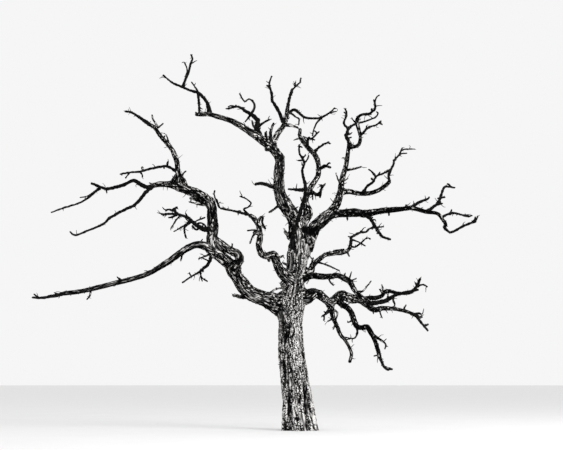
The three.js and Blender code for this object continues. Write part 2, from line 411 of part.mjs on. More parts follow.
// Each mass of twigs is a stem that grows from a limb, a few side twigs given like spurs, and seeded ones:
// how many, and how far they reach from the stem.
const MASSES = {
  low_limb_tip_twigs: {
    from: ["left_low_limb", 6.9],
    thick: [0.075, 0.05, 0.02],
    bends: [[-6.38, 3.32, 3.2], [-6.71, 3.32, 3.3]],
    spurs: [
      [0.3, 0.03, [-0.13, 0.06, 0]],
      [1.4, 0.03, [-0.14, 0.1, 0]],
    ],
    snags: [4, 0.22],
  },
  left_under_twigs: {
    from: ["left_bough", 8.8],
    thick: [0.08, 0.065, 0.05, 0.04, 0.03, 0.02],
    bends: [
      [-2.29, 4.16, 0.4], [-2.4, 4.06, 0.2], [-2.53, 3.95, 0], [-2.72, 3.84, -0.4], [-2.94, 3.69, -0.9],
    ],
    spurs: [
      [2.7, 0.035, [0.01, -0.14, 0], [0.05, -0.27, 0]],
      [2.8, 0.03, [0.05, -0.15, 0.05], [0.2, -0.26, 0.1]],
    ],
    snags: [4, 0.25],
  },
  left_tangle_twigs: {
    from: ["left_upright", 1.9],
    thick: [0.1, 0.085, 0.07, 0.06, 0.05, 0.04, 0.02],
    bends: [
      [-2.4, 5.03, 0.7], [-2.56, 5.11, 0.85], [-2.69, 5.22, 1], [-2.83, 5.33, 1.15], [-2.97, 5.38, 1.3],
      [-3.13, 5.41, 1.5], [-3.29, 5.41, 1.7], [-3.48, 5.4, 1.95],
    ],
    spurs: [
      [2.2, 0.04, [0, 0.1, 0], [0.23, 0.2, 0]],
      [3, 0.05, [-0.19, -0.14, 0], [-0.18, -0.3, 0], [-0.15, -0.43, 0.05]],
      [3.2, 0.04, [-0.2, -0.14, 0.1], [-0.45, -0.28, 0.2]],
      [5, 0.04, [-0.11, -0.11, 0], [-0.27, -0.35, 0]],
    ],
    snags: [6, 0.28],
  },
  left_arm_lower_twigs: {
    from: ["crooked_arm", 6.1],
    thick: [0.085, 0.07, 0.06, 0.05, 0.04, 0.02],
    bends: [
      [-3.86, 5.94, -0.5], [-4.11, 5.65, -0.3], [-4.37, 5.52, -0.1], [-4.72, 5.33, 0.25],
      [-4.92, 5.16, 0.5], [-5.33, 4.98, 0.85], [-5.62, 4.88, 1.1], [-5.76, 4.98, 1.2],
    ],
    snags: [4, 0.25],
  },
  left_arm_tip_twigs: {
    from: ["crooked_arm", 6.9],
    thick: [0.1, 0.09, 0.085, 0.08, 0.065, 0.05, 0.03],
    bends: [
      [-3.91, 6.11, -0.8], [-4.09, 6.22, -0.9], [-4.19, 6.24, -0.95], [-4.42, 6.13, -1.1],
      [-4.8, 6.04, -1.3], [-4.97, 6.08, -1.4], [-5.22, 6.18, -1.6],
    ],
    spurs: [
      [5.2, 0.035, [0.02, -0.12, 0]],
      [6, 0.055, [-0.36, -0.29, -0.1], [-0.58, -0.41, -0.2], [-0.94, -0.52, -0.4], [-1.26, -0.64, -0.6]],
      [6.1, 0.035, [-0.3, -0.22, -0.05], [-0.52, -0.27, -0.1]],
    ],
    snags: [5, 0.22],
  },
  left_arc_side_twigs: {
    from: ["left_arc", 1],
    thick: [0.06, 0.05, 0.045, 0.04, 0.03, 0.02],
    bends: [
      [-3.27, 6.58, -0.2], [-3.42, 6.6, -0.1], [-3.73, 6.54, 0.1], [-3.99, 6.47, 0.3], [-4.24, 6.45, 0.5],
      [-4.51, 6.4, 0.7],
    ],
    spurs: [[5.1, 0.03, [-0.1, -0.16, 0]]],
    snags: [4, 0.21],
  },
  left_arc_tip_twigs: {
    from: ["left_arc", 6.9],
    thick: [0.06, 0.045, 0.03, 0.02],
    bends: [[-3.99, 7.81, -2.1], [-4.22, 7.95, -2.25], [-4.38, 7.97, -2.4]],
    snags: [4, 0.22],
  },
  hooked_tip_twigs: {
    from: ["hooked_limb_upper", 5.9],
    thick: [0.06, 0.05, 0.04, 0.035, 0.03, 0.02],
    bends: [
      [-1.44, 5.43, 2.3], [-1.68, 5.49, 2.6], [-1.98, 5.55, 2.9], [-2.07, 5.7, 3.1], [-2.14, 5.86, 3.3],
    ],
    spurs: [
      [
        0.2, 0.04,
        [-0.11, 0.14, 0.05], [0, 0.2, 0.1], [0.06, 0.3, 0.15], [-0.07, 0.41, 0.2], [-0.23, 0.47, 0.3],
      ],
    ],
    snags: [5, 0.21],
  },
  top_riser_twigs: {
    from: ["top_left_limb", 7],
    thick: [0.08, 0.07, 0.06, 0.05, 0.04, 0.02],
    bends: [
      [-2.3, 8.13, 1.95], [-2.36, 8.25, 1.9], [-2.53, 8.43, 1.8], [-2.75, 8.5, 1.65], [-2.93, 8.58, 1.55],
      [-3.2, 8.7, 1.4], [-3.43, 8.89, 1.2],
    ],
    spurs: [
      [3, 0.035, [0, -0.2, 0], [0.01, -0.4, 0]],
      [3.1, 0.035, [-0.03, 0.08, 0], [-0.17, 0.28, 0.05]],
      [5, 0.05, [0.08, 0.22, 0], [0.15, 0.38, 0], [0.19, 0.55, 0], [0.24, 0.7, 0], [0.2, 0.83, 0]],
      [5.05, 0.03, [0.12, 0.4, 0.02], [0.05, 0.62, 0.05]],
    ],
    snags: [4, 0.21],
  },
  top_upright_twigs: {
    from: ["top_left_limb", 2.1],
    thick: [0.1, 0.09, 0.08, 0.07, 0.055, 0.04, 0.02],
    bends: [
      [-1.08, 7.57, 0.8], [-1.05, 7.69, 0.7], [-1.08, 7.78, 0.6], [-1.22, 7.9, 0.4], [-1.38, 7.99, 0.2],
      [-1.54, 8.09, -0.1], [-1.78, 8.05, -0.5],
    ],
    spurs: [
      [0.8, 0.04, [-0.1, 0.1, 0], [-0.13, 0.24, 0]],
      [1.2, 0.045, [0.08, 0.02, 0], [0.23, 0.12, 0.05], [0.35, 0.17, 0.1]],
      [4, 0.045, [0.08, 0.15, 0], [0.06, 0.3, 0], [-0.05, 0.38, 0], [-0.17, 0.33, 0.05], [-0.3, 0.53, 0.1]],
      [4, 0.035, [-0.16, -0.2, 0.1]],
    ],
    snags: [5, 0.22],
  },
  spire_left_twigs: {
    from: ["spire", 2.3],
    thick: [0.07, 0.06, 0.055, 0.045, 0.04, 0.025],
    bends: [
      [-0.48, 7.87, 0.1], [-0.57, 8.05, 0.25], [-0.69, 8.24, 0.4], [-0.7, 8.39, 0.5], [-0.76, 8.57, 0.65],
      [-0.84, 8.63, 0.75],
    ],
    spurs: [[5, 0.035, [0, 0.12, 0], [0.06, 0.3, 0]]],
    snags: [4, 0.2],
  },
  spire_right_twigs: {
    from: ["spire", 3.5],
    thick: [0.06, 0.055, 0.05, 0.045, 0.04, 0.02],
    bends: [
      [-0.14, 8.01, -0.35], [0, 7.91, -0.1], [0.13, 7.82, 0.15], [0.29, 7.8, 0.4], [0.44, 7.8, 0.7],
      [0.55, 7.83, 0.9], [0.72, 7.92, 1.2], [0.88, 8.07, 1.5],
    ],
    spurs: [
      [6, 0.04, [-0.1, -0.11, 0], [-0.17, -0.22, 0], [-0.21, -0.34, 0], [-0.24, -0.48, 0.05]],
      [7.1, 0.03, [0.2, 0.05, 0.05]],
    ],
    snags: [4, 0.2],
  },
  spire_tip_twigs: {
    from: ["spire", 3.9],
    thick: [0.07, 0.06, 0.05, 0.04, 0.02],
    bends: [[-0.27, 8.25, -0.9], [-0.21, 8.48, -1.2], [-0.18, 8.53, -1.25], [0.02, 8.71, -1.6]],
    snags: [4, 0.2],
  },
  inner_spire_twigs: {
    from: ["left_leader", 1.3],
    thick: [0.1, 0.09, 0.08, 0.07, 0.06, 0.05, 0.045, 0.035, 0.02],
    bends: [
      [-0.02, 5.36, 0.5], [0.04, 5.58, 0.7], [0.13, 5.82, 0.95], [0.13, 6.14, 1.25], [0.08, 6.35, 1.5],
      [0.06, 6.52, 1.7], [0.11, 6.66, 1.85], [0.08, 6.77, 2], [-0.01, 6.93, 2.25], [-0.02, 7.14, 2.6],
    ],
    spurs: [
      [2.7, 0.035, [-0.06, 0, 0], [-0.1, 0.1, 0]],
      [3.6, 0.06, [-0.2, 0, 0], [-0.45, 0.01, 0]],
      [7.5, 0.035, [0.05, 0.01, 0], [0.1, 0.1, 0], [0.12, 0.18, 0]],
      [7.8, 0.03, [-0.16, 0, 0]],
    ],
    snags: [4, 0.18],
  },
  middle_right_twigs: {
    from: ["middle_limb_lower", 3.5],
    thick: [0.06, 0.05, 0.045, 0.04, 0.03, 0.02],
    bends: [[0.32, 5.93, -0.4], [0.41, 5.88, -0.2], [0.51, 5.89, 0], [0.53, 6.02, 0.15], [0.6, 6.12, 0.3]],
    spurs: [[1, 0.035, [0, -0.18, 0]]],
    snags: [4, 0.17],
  },
  middle_side_twigs: {
    from: ["middle_limb_upper", 1.7],
    thick: [0.055, 0.05, 0.04, 0.03, 0.02],
    bends: [[0.41, 7.01, -1.9], [0.52, 7.1, -1.8], [0.68, 7.19, -1.6], [0.76, 7.16, -1.45]],
    snags: [4, 0.18],
  },
  middle_tip_twigs: {
    from: ["middle_limb_upper", 2.8],
    thick: [0.055, 0.045, 0.035, 0.02],
    bends: [[0.22, 7.31, -2.3], [0.29, 7.29, -2.2], [0.49, 7.48, -1.9]],
    snags: [4, 0.2],
  },
  right_upright_tip_twigs: {
    from: ["right_upright", 6.9],
    thick: [0.08, 0.075, 0.06, 0.05, 0.04, 0.02],
    bends: [
      [1.22, 7.22, -1.8], [1.15, 7.36, -2], [1.2, 7.53, -2.3], [1.1, 7.68, -2.5], [1.17, 7.9, -2.7],
      [1.12, 8.06, -2.8],
    ],
    spurs: [
      [
        3, 0.045,
        [0.17, 0.13, -0.1], [0.31, 0.16, -0.2], [0.66, 0.28, -0.4], [0.75, 0.39, -0.45], [0.7, 0.44, -0.5],
      ],
    ],
    snags: [5, 0.2],
  },
  right_loop_side_twigs: {
    from: ["right_loop", 3.3],
    thick: [0.05, 0.04, 0.035, 0.02],
    bends: [
      [1.61, 7.46, -0.9], [1.66, 7.53, -0.8], [1.79, 7.6, -0.6], [1.9, 7.63, -0.4], [2.03, 7.73, -0.1],
    ],
    snags: [4, 0.17],
  },
  right_loop_tip_twigs: {
    from: ["right_loop", 7.9],
    thick: [0.05, 0.045, 0.04, 0.02],
    bends: [
      [1.72, 7.91, -0.5], [1.81, 7.97, -0.45], [1.88, 8.04, -0.4], [1.87, 8.19, -0.3], [1.84, 8.28, -0.25],
    ],
    spurs: [[4, 0.03, [0.05, 0.14, 0], [0.13, 0.2, 0.05]]],
    snags: [4, 0.17],
  },
  right_arm_cross_twigs: {
    from: ["right_lower_arm", 3.1],
    thick: [0.06, 0.05, 0.04, 0.03, 0.02],
    bends: [
      [1.68, 6.1, -0.9], [1.83, 6.21, -0.75], [1.9, 6.34, -0.65], [2.05, 6.41, -0.5], [2.23, 6.48, -0.3],
    ],
    spurs: [[3, 0.035, [-0.11, 0.13, 0], [-0.2, 0.19, 0]]],
    snags: [4, 0.18],
  },
  right_arm_tip_twigs: {
    from: ["right_lower_arm", 6.9],
    thick: [0.055, 0.05, 0.04, 0.03, 0.02],
    bends: [
      [2.22, 6.36, -1.9], [2.27, 6.5, -2], [2.34, 6.65, -2.15], [2.37, 6.76, -2.25], [2.49, 6.91, -2.4],
      [2.56, 7.07, -2.6],
    ],
    spurs: [
      [5, 0.03, [0.1, 0.11, 0], [0.4, 0.12, 0.05]],
      [5, 0.03, [0.2, 0.02, 0]],
    ],
    snags: [4, 0.18],
  },
  right_bough_drooping_twigs: {
    from: ["right_bough_inner", 2.95],
    thick: [0.08, 0.065, 0.05, 0.03],
    bends: [[1.79, 5.25, 0.3], [1.92, 5.03, 0.5], [2.07, 4.84, 0.7], [2.28, 4.77, 0.9]],
    snags: [4, 0.18],
  },
  right_bough_upper_twigs: {
    from: ["right_bough_outer", 2],
    thick: [0.05, 0.045, 0.035, 0.02],
    bends: [
      [3.34, 5.59, 1.5], [3.47, 5.72, 1.35], [3.55, 5.94, 1.15], [3.64, 6.09, 1], [3.88, 6.06, 0.8],
    ],
    spurs: [[1.3, 0.03, [0.2, 0.05, 0]]],
    snags: [4, 0.2],
  },
  right_bough_mid_twigs: {
    from: ["right_bough_outer", 3.8],
    thick: [0.04, 0.035, 0.02],
    bends: [[3.81, 5.43, 1.8], [4.22, 5.34, 1.5]],
    snags: [4, 0.2],
  },
  right_bough_tip_twigs: {
    from: ["right_bough_outer", 5.9],
    thick: [0.04, 0.035, 0.03, 0.02],
    bends: [[3.79, 4.95, 2.3], [4.11, 5.12, 2.45], [4.42, 5.23, 2.6]],
    snags: [4, 0.21],
  },
  rising_tip_twigs: {
    from: ["rising_limb", 7.9],
    thick: [0.06, 0.05, 0.04, 0.03, 0.02],
    bends: [
      [1.28, 4.75, -1.7], [1.29, 4.83, -1.8], [1.52, 4.95, -2.2], [1.64, 4.95, -2.4], [1.77, 5.05, -2.7],
      [2.1, 5.09, -3.3],
    ],
    spurs: [
      [0.1, 0.035, [0.11, -0.02, 0.1], [0.26, 0.08, 0.2], [0.41, 0.2, 0.35], [0.51, 0.17, 0.45]],
      [1.2, 0.03, [0.18, -0.06, 0], [0.37, -0.17, 0]],
    ],
    snags: [4, 0.2],
  },
  right_mid_tip_twigs: {
    from: ["right_mid_limb", 9.9],
    thick: [0.085, 0.075, 0.06, 0.05, 0.04, 0.02],
    bends: [
      [1.97, 3.2, 1.45], [2.17, 3.25, 1.55], [2.32, 3.34, 1.65], [2.47, 3.41, 1.75], [2.81, 3.49, 1.95],
      [2.94, 3.64, 2.05], [3.02, 3.81, 2.15],
    ],
    spurs: [
      [3, 0.035, [0.01, -0.1, 0], [0.05, -0.2, 0], [0, -0.33, 0]],
      [5, 0.035, [0.15, 0.12, 0], [0.28, 0.16, 0.05]],
    ],
    snags: [3, 0.2],
  },
  low_right_tip_twigs: {
    from: ["low_right_bough_outer", 4.9],
    thick: [0.05, 0.045, 0.035, 0.02],
    bends: [[2.91, 2.85, -2.1], [3.04, 2.68, -2.25], [3.21, 2.48, -2.45]],
    spurs: [[0.5, 0.03, [0.12, 0.03, 0], [0.2, 0, 0]]],
    snags: [3, 0.2],
  },
  upper_strand_twigs: {
    from: ["upper_strand", 7.9],
    thick: [0.05, 0.035, 0.02],
    bends: [[2.96, 3.61, 0.5], [3.1, 3.65, 0.6]],
    spurs: [[0.1, 0.03, [0.15, 0.02, 0]]],
    snags: [3, 0.2],
  },
  near_drooping_twigs: {
    from: ["near_drooping_limb", 10.9],
    thick: [0.055, 0.035, 0.02],
    bends: [[2.1, 1.59, 1.5], [2.22, 1.5, 1.6]],
    snags: [3, 0.2],
  },
  far_drooping_twigs: {
    from: ["far_drooping_limb", 0.9],
    thick: [0.05, 0.035, 0.02],
    bends: [[0.66, 2.92, -0.5], [0.54, 2.84, -0.3]],
    snags: [4, 0.17],
  },
};

// A place on the tree in millimetres: the sight line through the sheet, as far out as near says.
function place({ x: right, y: up, z: near }) {
  const sheet = new THREE.Vector3(right, -up * Math.sin(LOOK_UP), up * Math.cos(LOOK_UP));
  const reach = (-EYE.y - near) / (sheet.y - EYE.y);
  return EYE.clone().lerp(sheet, reach).multiplyScalar(METRE);
}

// Seeded numbers from 0 to 1 by a linear congruence, the same on every run.
function diceFrom(seed) {
  let state = seed;
  return () => {
    state = (state * 1664525 + 1013904223) % 4294967296;
    return state / 4294967296;
  };
}

// A value read from an evenly spread list, at a share of the way along it.
function readAt(list, share) {
  const at = THREE.MathUtils.clamp(share, 0, 1) * (list.length - 1);
  const low = Math.min(Math.floor(at), list.length - 2);
  return THREE.MathUtils.lerp(list[low], list[low + 1], at - low);
}

// The line through a piece's bends, which bends as smoothly as its points let it.
function lineThrough(points) {
  return new THREE.CatmullRomCurve3(points, false, "catmullrom", 0.5);
}

// Half a piece's thickness in millimetres, at a share of the way along it.
function radiusAt(thick, share) {
  return (Math.hypot(readAt(thick, share), LEAST_THICK) / 2) * METRE;
}

// Where a piece starts: the place on its parent's line, how thick that is, and whether it is the tip.
function rootOf([parent, bendsAlong]) {
  const { line, thick } = pieces.get(parent);
  const share = bendsAlong / (line.points.length - 1);
  return {
    place: line.getPoint(share),
    radius: radiusAt(thick, share),
    isTip: bendsAlong > line.points.length - 1.5,
  };
}

// The rings of a piece: evenly spread along its bends, each square to the line. A ring inside the parent
// stays within it, one on the parent's skin is swollen by the collar, and the rest are a little uneven.
function ringsAlong(line, thick, steps, root, dice) {
  const count = (line.points.length - 1) * steps;
  const centres = Array.from({ length: count + 1 }, (_, i) => place(line.getPoint(i / count)));
  let side = new THREE.Vector3(0, 1, 0);
  let run = 0;
  return centres.map((centre, i) => {
    const before = centres[Math.max(i - 1, 0)];
    const ahead = centres[Math.min(i + 1, count)].clone().sub(before).normalize();
    side = side.clone().addScaledVector(ahead, -side.dot(ahead)).normalize();
    run += centre.distanceTo(before);
    let radius = radiusAt(thick, i / count) * (1 + LUMP * (2 * dice() - 1));
    if (root.isTip && i === 0) radius = Math.min(radius, WITHIN_PARENT * root.radius);
    if (!root.isTip) {
      radius *= 1 + COLLAR * Math.exp(-Math.max(0, run - root.radius) / (thick[0] * METRE));
      if (run < root.radius) radius = Math.min(radius, WITHIN_PARENT * root.radius);
    }
    return { centre, ahead, side, other: side.clone().cross(ahead), radius };
  });
}

// The trunk's rings lie level, so that its foot is a flat cut.
function trunkRings(line, thick) {
  const count = (line.points.length - 1) * TRUNK_STEPS;
  const ahead = new THREE.Vector3(0, 0, 1);
  const side = new THREE.Vector3(1, 0, 0);
  const other = new THREE.Vector3(0, -1, 0);
  return Array.from({ length: count + 1 }, (_, i) => {
    const centre = place(line.getPoint(i / count));
    return { centre, ahead, side, other, radius: radiusAt(thick, i / count) };
  });
}

// How far round the folds have wandered at a height.
function wanderAt(height) {
  return WANDER * Math.sin(WANDER_RISE * height);
}

// How far out the trunk's skin is: the radius with the root ridges, which fade with height, and the slow
// swells, less the folds. The angle is a world one.
function trunkSkinAt(angle, height, radius) {
  let share = 1 + RIDGE_DEPTH * Math.cos(RIDGES * (angle + RIDGE_TURN)) * Math.exp(-height / RIDGE_RISE);
  for (const [waves, turn, shift, size] of SWELLS) {
    share += size * Math.sin(waves * angle + (turn * height) / METRE + shift);
  }
  let depth = 0;
  for (const [facing, low, high, deepest] of FOLDS) {
    const from = THREE.MathUtils.degToRad(facing) + wanderAt(height);
    const apart = Math.atan2(Math.sin(angle - from), Math.cos(angle - from)) / FOLD_WIDTH;
    const rise = THREE.MathUtils.smoothstep(height / METRE, low - FOLD_FADE, low + FOLD_FADE);
    const fall = 1 - THREE.MathUtils.smoothstep(height / METRE, high - 2 * FOLD_FADE, high);
    depth += deepest * METRE * Math.exp(-apart * apart) * rise * fall;
  }
  return radius * share - depth;
}

// A closed solid between two rings: a cylinder whose points are moved out to them. Extra is added all
// round and at the far end, for the grown copy that cuts its neighbours clear.
function segment(near, far, sides, extra, isTrunk) {
  const shape = new THREE.CylinderGeometry(1, 1, 1, sides, 1);
  const corner = extra / Math.cos(Math.PI / sides);
  const points = shape.attributes.position;
  for (let i = 0; i < points.count; i += 1) {
    const [x, y, z] = [points.getX(i), points.getY(i), points.getZ(i)];
    const { centre, side, other, radius } = y > 0 ? far : near;
    const angle = Math.atan2(-z, x) + (isTrunk ? wanderAt(centre.z) : 0);
    const skin = isTrunk ? trunkSkinAt(angle, centre.z, radius) : radius;
    const out = Math.hypot(x, z) * (skin + corner);
    const point = centre.clone().addScaledVector(side, Math.cos(angle) * out);
    point.addScaledVector(other, -Math.sin(angle) * out);
    points.setXYZ(i, point.x, point.y, point.z);
  }
  shape.deleteAttribute("normal");
  shape.deleteAttribute("uv");
  const closed = mergeVertices(shape, 0.001);
  return new wasm.Manifold(
    new wasm.Mesh({
      numProp: 3,
      vertProperties: closed.attributes.position.array,
      triVerts: new Uint32Array(closed.index.array),
    }),
  );
}

// A piece's solid: its segments joined one after another, so that a sharp bend leaves no overlap in it.
function sweep(rings, sides, extra, isTrunk) {
  const tip = rings.at(-1);
  const beyond = { ...tip, centre: tip.centre.clone().addScaledVector(tip.ahead, extra) };
  const course = extra > 0 ? [...rings, beyond] : rings;
  const segments = course.slice(1).map((ring, i) => segment(course[i], ring, sides, extra, isTrunk));
  return segments.reduce((whole, one) => whole.add(one));
}

// A spur's bends are steps from the place on the piece where it leaves.
function spurRings(line, [bendsAlong, thickness, ...steps], dice) {
  const share = bendsAlong / (line.points.length - 1);
  const start = line.getPoint(share);
  const bends = steps.map((step) => new THREE.Vector3(...step).add(start));
  const root = { radius: (thickness / 2) * METRE, isTip: false };
  const thick = [thickness, thickness * SPUR_TIP];
  return ringsAlong(lineThrough([start, ...bends]), thick, THIN_STEPS, root, dice);
}

// A seeded twig leaves the line at a seeded place, partly along it and partly to a seeded side, and kinks.
function seededRings(line, reach, dice) {
  const share = 0.15 + 0.85 * dice();
  const start = line.getPoint(share);
  const lean = anyWay(dice).multiplyScalar(2);
  lean.addScaledVector(line.getTangent(share), FOLLOW).normalize();
  const long = reach * (0.5 + 0.5 * dice());
  const turned = anyWay(dice).multiplyScalar(2 * KINK).add(lean).normalize();
  const middle = start.clone().addScaledVector(lean, long / 2);
  const tip = middle.clone().addScaledVector(turned, long / 2);
  const root = { radius: TWIG_ROOT * METRE, isTip: true };
  return ringsAlong(lineThrough([start, middle, tip]), [TWIG_ROOT, TWIG_TIP], SEEDED_STEPS, root, dice);
}

// A seeded direction, a little more often upward than down.
function anyWay(dice) {
  return new THREE.Vector3(dice() - 0.5, dice() - 0.4, dice() - 0.5);
}

const pieces = new Map();
const tree = new THREE.Group();

const bark = new THREE.MeshStandardMaterial({ color: 0x77756f, roughness: 0.92, metalness: 0 });
const bareTwig = new THREE.MeshStandardMaterial({ color: 0x3a3936, roughness: 0.9, metalness: 0 });

// The pieces already built whose boxes come as near as this solid's.
function neighboursOf(solid) {
  const { min, max } = solid.boundingBox();
  return [...pieces.values()].filter(({ box }) =>
    [0, 1, 2].every((axis) => box.min[axis] < max[axis] && box.max[axis] > min[axis]),
  );
}

function meetsNone(solid) {
  return neighboursOf(solid).every(({ grown }) => solid.intersect(grown).isEmpty());
}

// The trunk's stem is level and many-sided, a thick limb's is smooth, and a twig's is three-sided.
function stemSweep(plan, line, root, material, dice) {
  if (!root) return [trunkRings(line, plan.thick), TRUNK_SIDES, true];
  const isThick = plan.thick[0] > THICK_LIMB;
  const steps = isThick ? THICK_STEPS : THIN_STEPS;
  const limbSides = isThick ? THICK_SIDES : THIN_SIDES;
  const sides = material === bark ? limbSides : TWIG_SIDES;
  return [ringsAlong(line, plan.thick, steps, root, dice), sides, false];
}

// One piece: its stem, its spurs and the seeded twigs that meet no other piece, joined, then cut clear of
// what was built before it, keeping the largest body.
function addPiece(name, plan, material) {
  const dice = diceFrom((pieces.size + 1) * 7919);
  dice();
  const root = plan.from ? rootOf(plan.from) : null;
  const bends = plan.bends.map((bend) => new THREE.Vector3(...bend));
  const line = lineThrough(root ? [root.place, ...bends] : bends);
  const sweeps = [stemSweep(plan, line, root, material, dice)];
  for (const spur of plan.spurs ?? []) {
    sweeps.push([spurRings(line, spur, dice), TWIG_SIDES, false]);
  }
  const [count, reach] = plan.snags;
  for (let i = 0; i < count; i += 1) {
    const twig = [seededRings(line, reach, dice), TWIG_SIDES, false];
    if (meetsNone(sweep(twig[0], twig[1], 0, false))) sweeps.push(twig);
  }
  const solids = sweeps.map(([rings, around, isTrunk]) => sweep(rings, around, 0, isTrunk));
  const grownSolids = sweeps.map(([rings, around, isTrunk]) => sweep(rings, around, CLEAR, isTrunk));
  const grown = grownSolids.reduce((whole, one) => whole.add(one));
  let solid = solids.reduce((whole, one) => whole.add(one));
  for (const neighbour of neighboursOf(solid)) solid = solid.subtract(neighbour.grown);
  const bodies = solid.simplify(SMALLEST_EDGE).decompose();
  const largest = bodies.reduce((best, body) => (body.volume() > best.volume() ? body : best));
  pieces.set(name, { line, thick: plan.thick, grown, box: grown.boundingBox() });
  tree.add(meshOf(name, largest, material));
}

function meshOf(name, solid, material) {
  const { vertProperties, triVerts } = solid.getMesh();
  const geometry = new THREE.BufferGeometry();
  geometry.setAttribute("position", new THREE.BufferAttribute(vertProperties, 3));
  geometry.setIndex(new THREE.BufferAttribute(triVerts, 1));
  geometry.computeVertexNormals();
  const mesh = new THREE.Mesh(geometry, material);
  mesh.name = name;
  return mesh;
}

for (const [name, plan] of Object.entries(LIMBS)) addPiece(name, plan, bark);
for (const [name, plan] of Object.entries(MASSES)) addPiece(name, plan, bareTwig);

export default tree;
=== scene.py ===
import math

import bpy
import numpy as np
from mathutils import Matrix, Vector


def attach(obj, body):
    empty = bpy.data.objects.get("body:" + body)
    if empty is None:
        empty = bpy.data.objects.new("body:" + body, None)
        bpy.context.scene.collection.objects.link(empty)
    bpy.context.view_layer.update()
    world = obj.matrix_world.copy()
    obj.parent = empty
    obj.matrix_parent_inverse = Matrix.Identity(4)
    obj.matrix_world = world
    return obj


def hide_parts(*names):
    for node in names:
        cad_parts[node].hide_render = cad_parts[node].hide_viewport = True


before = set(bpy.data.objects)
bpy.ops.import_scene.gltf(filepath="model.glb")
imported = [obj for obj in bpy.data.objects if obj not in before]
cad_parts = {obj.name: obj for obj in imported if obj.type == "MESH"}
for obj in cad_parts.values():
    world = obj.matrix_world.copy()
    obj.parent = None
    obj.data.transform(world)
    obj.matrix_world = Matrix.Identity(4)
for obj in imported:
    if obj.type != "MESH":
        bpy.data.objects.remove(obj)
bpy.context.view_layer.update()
print("frame:", len(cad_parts), "solids")

# The eye that the tree is laid out from, which the camera is made from too
eyeView = dict(
    place=(-0.46, -30.41, 1.2), lookUp=math.radians(7.43), trim=math.radians(0.02), lens=76.73, sensor=36.0,
    clip=(0.5, 1000),
)

# How everything grows, as in the solids: rings per bend, which the dice are counted by, the collar where a
# limb leaves, how uneven it is, and where a seeded twig starts, how it leaves, follows its stem and kinks
growth = dict(
    thickLimb=0.175, thickSteps=2, thinSteps=1, seededSteps=0.5, firstSeed=7919, leastThick=0.045,
    collar=0.35, lump=0.07, withinParent=0.8, spurTip=0.35, tipBends=1.5,
    twigThick=(0.03, 0.012), fromShare=0.15, fromLong=0.5, lift=0.4, follow=0.7, kink=0.9, hair=0.001,
    near=0.4,
)

# How finely surfaces are cut, in metres, and how fine twigs get at their tips
cut = dict(
    trunkCell=0.0125, ringShare=0.85, limbCell=0.0115, twigCell=0.02, spurAround=0.012, massAround=0.014,
    stemSwell=1.1, leastStem=12, leastSpur=8, leastMass=7, finest=0.026, perBend=30, leastRings=5,
)


# [right, up, near] to the frame: along the sight line through the tilted sheet, until near is met
def placed(points):
    right, up, near = np.asarray(points, float).T
    tilt, eye = eyeView["lookUp"], np.array(eyeView["place"])
    sheet = np.stack([right, -up * math.sin(tilt), up * math.cos(tilt)], 1)
    reach = (-eye[1] - near) / (sheet[:, 1] - eye[1])
    return eye + (sheet - eye) * reach[:, None]


# A smooth line through points at t bends along: a cubic whose slope at a point is half the step across it
def lineAt(points, t):
    points, t = np.asarray(points, float), np.atleast_1d(t)
    ends = np.vstack([2 * points[0] - points[1], points, 2 * points[-1] - points[-2]])
    i = np.clip(np.floor(t).astype(int), 0, len(points) - 2)
    w = (t - i)[:, None]
    a, b, c, d = ends[i], ends[i + 1], ends[i + 2], ends[i + 3]
    return b + 0.5 * w * (c - a + w * (2 * a - 5 * b + 4 * c - d + w * (3 * (b - c) + d - a)))


# A value at a share of the way along an evenly spread list
def readAt(values, share):
    return np.interp(share, np.linspace(0, 1, len(values)), values)


# Half a piece's thickness at a share of the way along it, which is nowhere under half the least
def radiusAt(thick, share, least=growth["leastThick"]):
    return np.hypot(readAt(thick, share), least) / 2


# Seeded numbers from 0 to 1: the state times 1664525 plus 1013904223, kept to 32 bits
def diceFrom(seed):
    state = [seed]

    def roll():
        state[0] = (state[0] * 1664525 + 1013904223) % 4294967296
        return state[0] / 4294967296

    return roll


# A seeded way, each coordinate from about -1 to 1 and the second a little upwards
def wayFrom(dice):
    return np.array([dice() - 0.5, dice() - growth["lift"], dice() - 0.5]) * 2


# Each vector over its own length
def unit(vectors):
    return vectors / np.maximum(np.linalg.norm(vectors, axis=-1, keepdims=True), 1e-9)


# 0 below low, 1 above high, and a smooth step between
def smoothStep(low, high, values):
    w = np.clip((values - low) / (high - low), 0, 1)
    return w * w * (3 - 2 * w)


# Whole numbers that a corner's coordinates and seed are mixed by, so that its slope looks random
mixing = dict(axes=(374761393, 668265263, 2246822519), seed=7919, shift=101, last=1274126177)


# Gradient noise, about -0.7 to 0.7: at each corner of the unit cell a seeded slope, blended by a quintic step
def noiseAt(places, seed):
    cell = np.floor(places)
    f = (places - cell).astype(np.float32)
    blend = f * f * f * (f * (f * 6 - 15) + 10)
    cell = cell.astype(np.int64).astype(np.uint32)
    total = np.zeros(places.shape[:-1], np.float32)
    for corner in np.ndindex(2, 2, 2):
        h = np.full(total.shape, seed * mixing["seed"] + mixing["shift"], np.uint32)
        for axis, step in enumerate(corner):
            h = h + (cell[..., axis] + np.uint32(step)) * np.uint32(mixing["axes"][axis])
        h = (h ^ (h >> np.uint32(13))) * np.uint32(mixing["last"])
        h = h ^ (h >> np.uint32(16))
        value = 0
        for axis, step in enumerate(corner):
            slope = ((h >> np.uint32(10 * axis)) & np.uint32(1023)).astype(np.float32) / 511.5 - 1
            value = value + slope * (f[..., axis] - step)
        for axis, step in enumerate(corner):
            value = value * (blend[..., axis] if step else 1 - blend[..., axis])
        total += value
    return total


pieces = {}  # by name: number, kind, root, bends, thickness, and tubes, the first of which is the stem


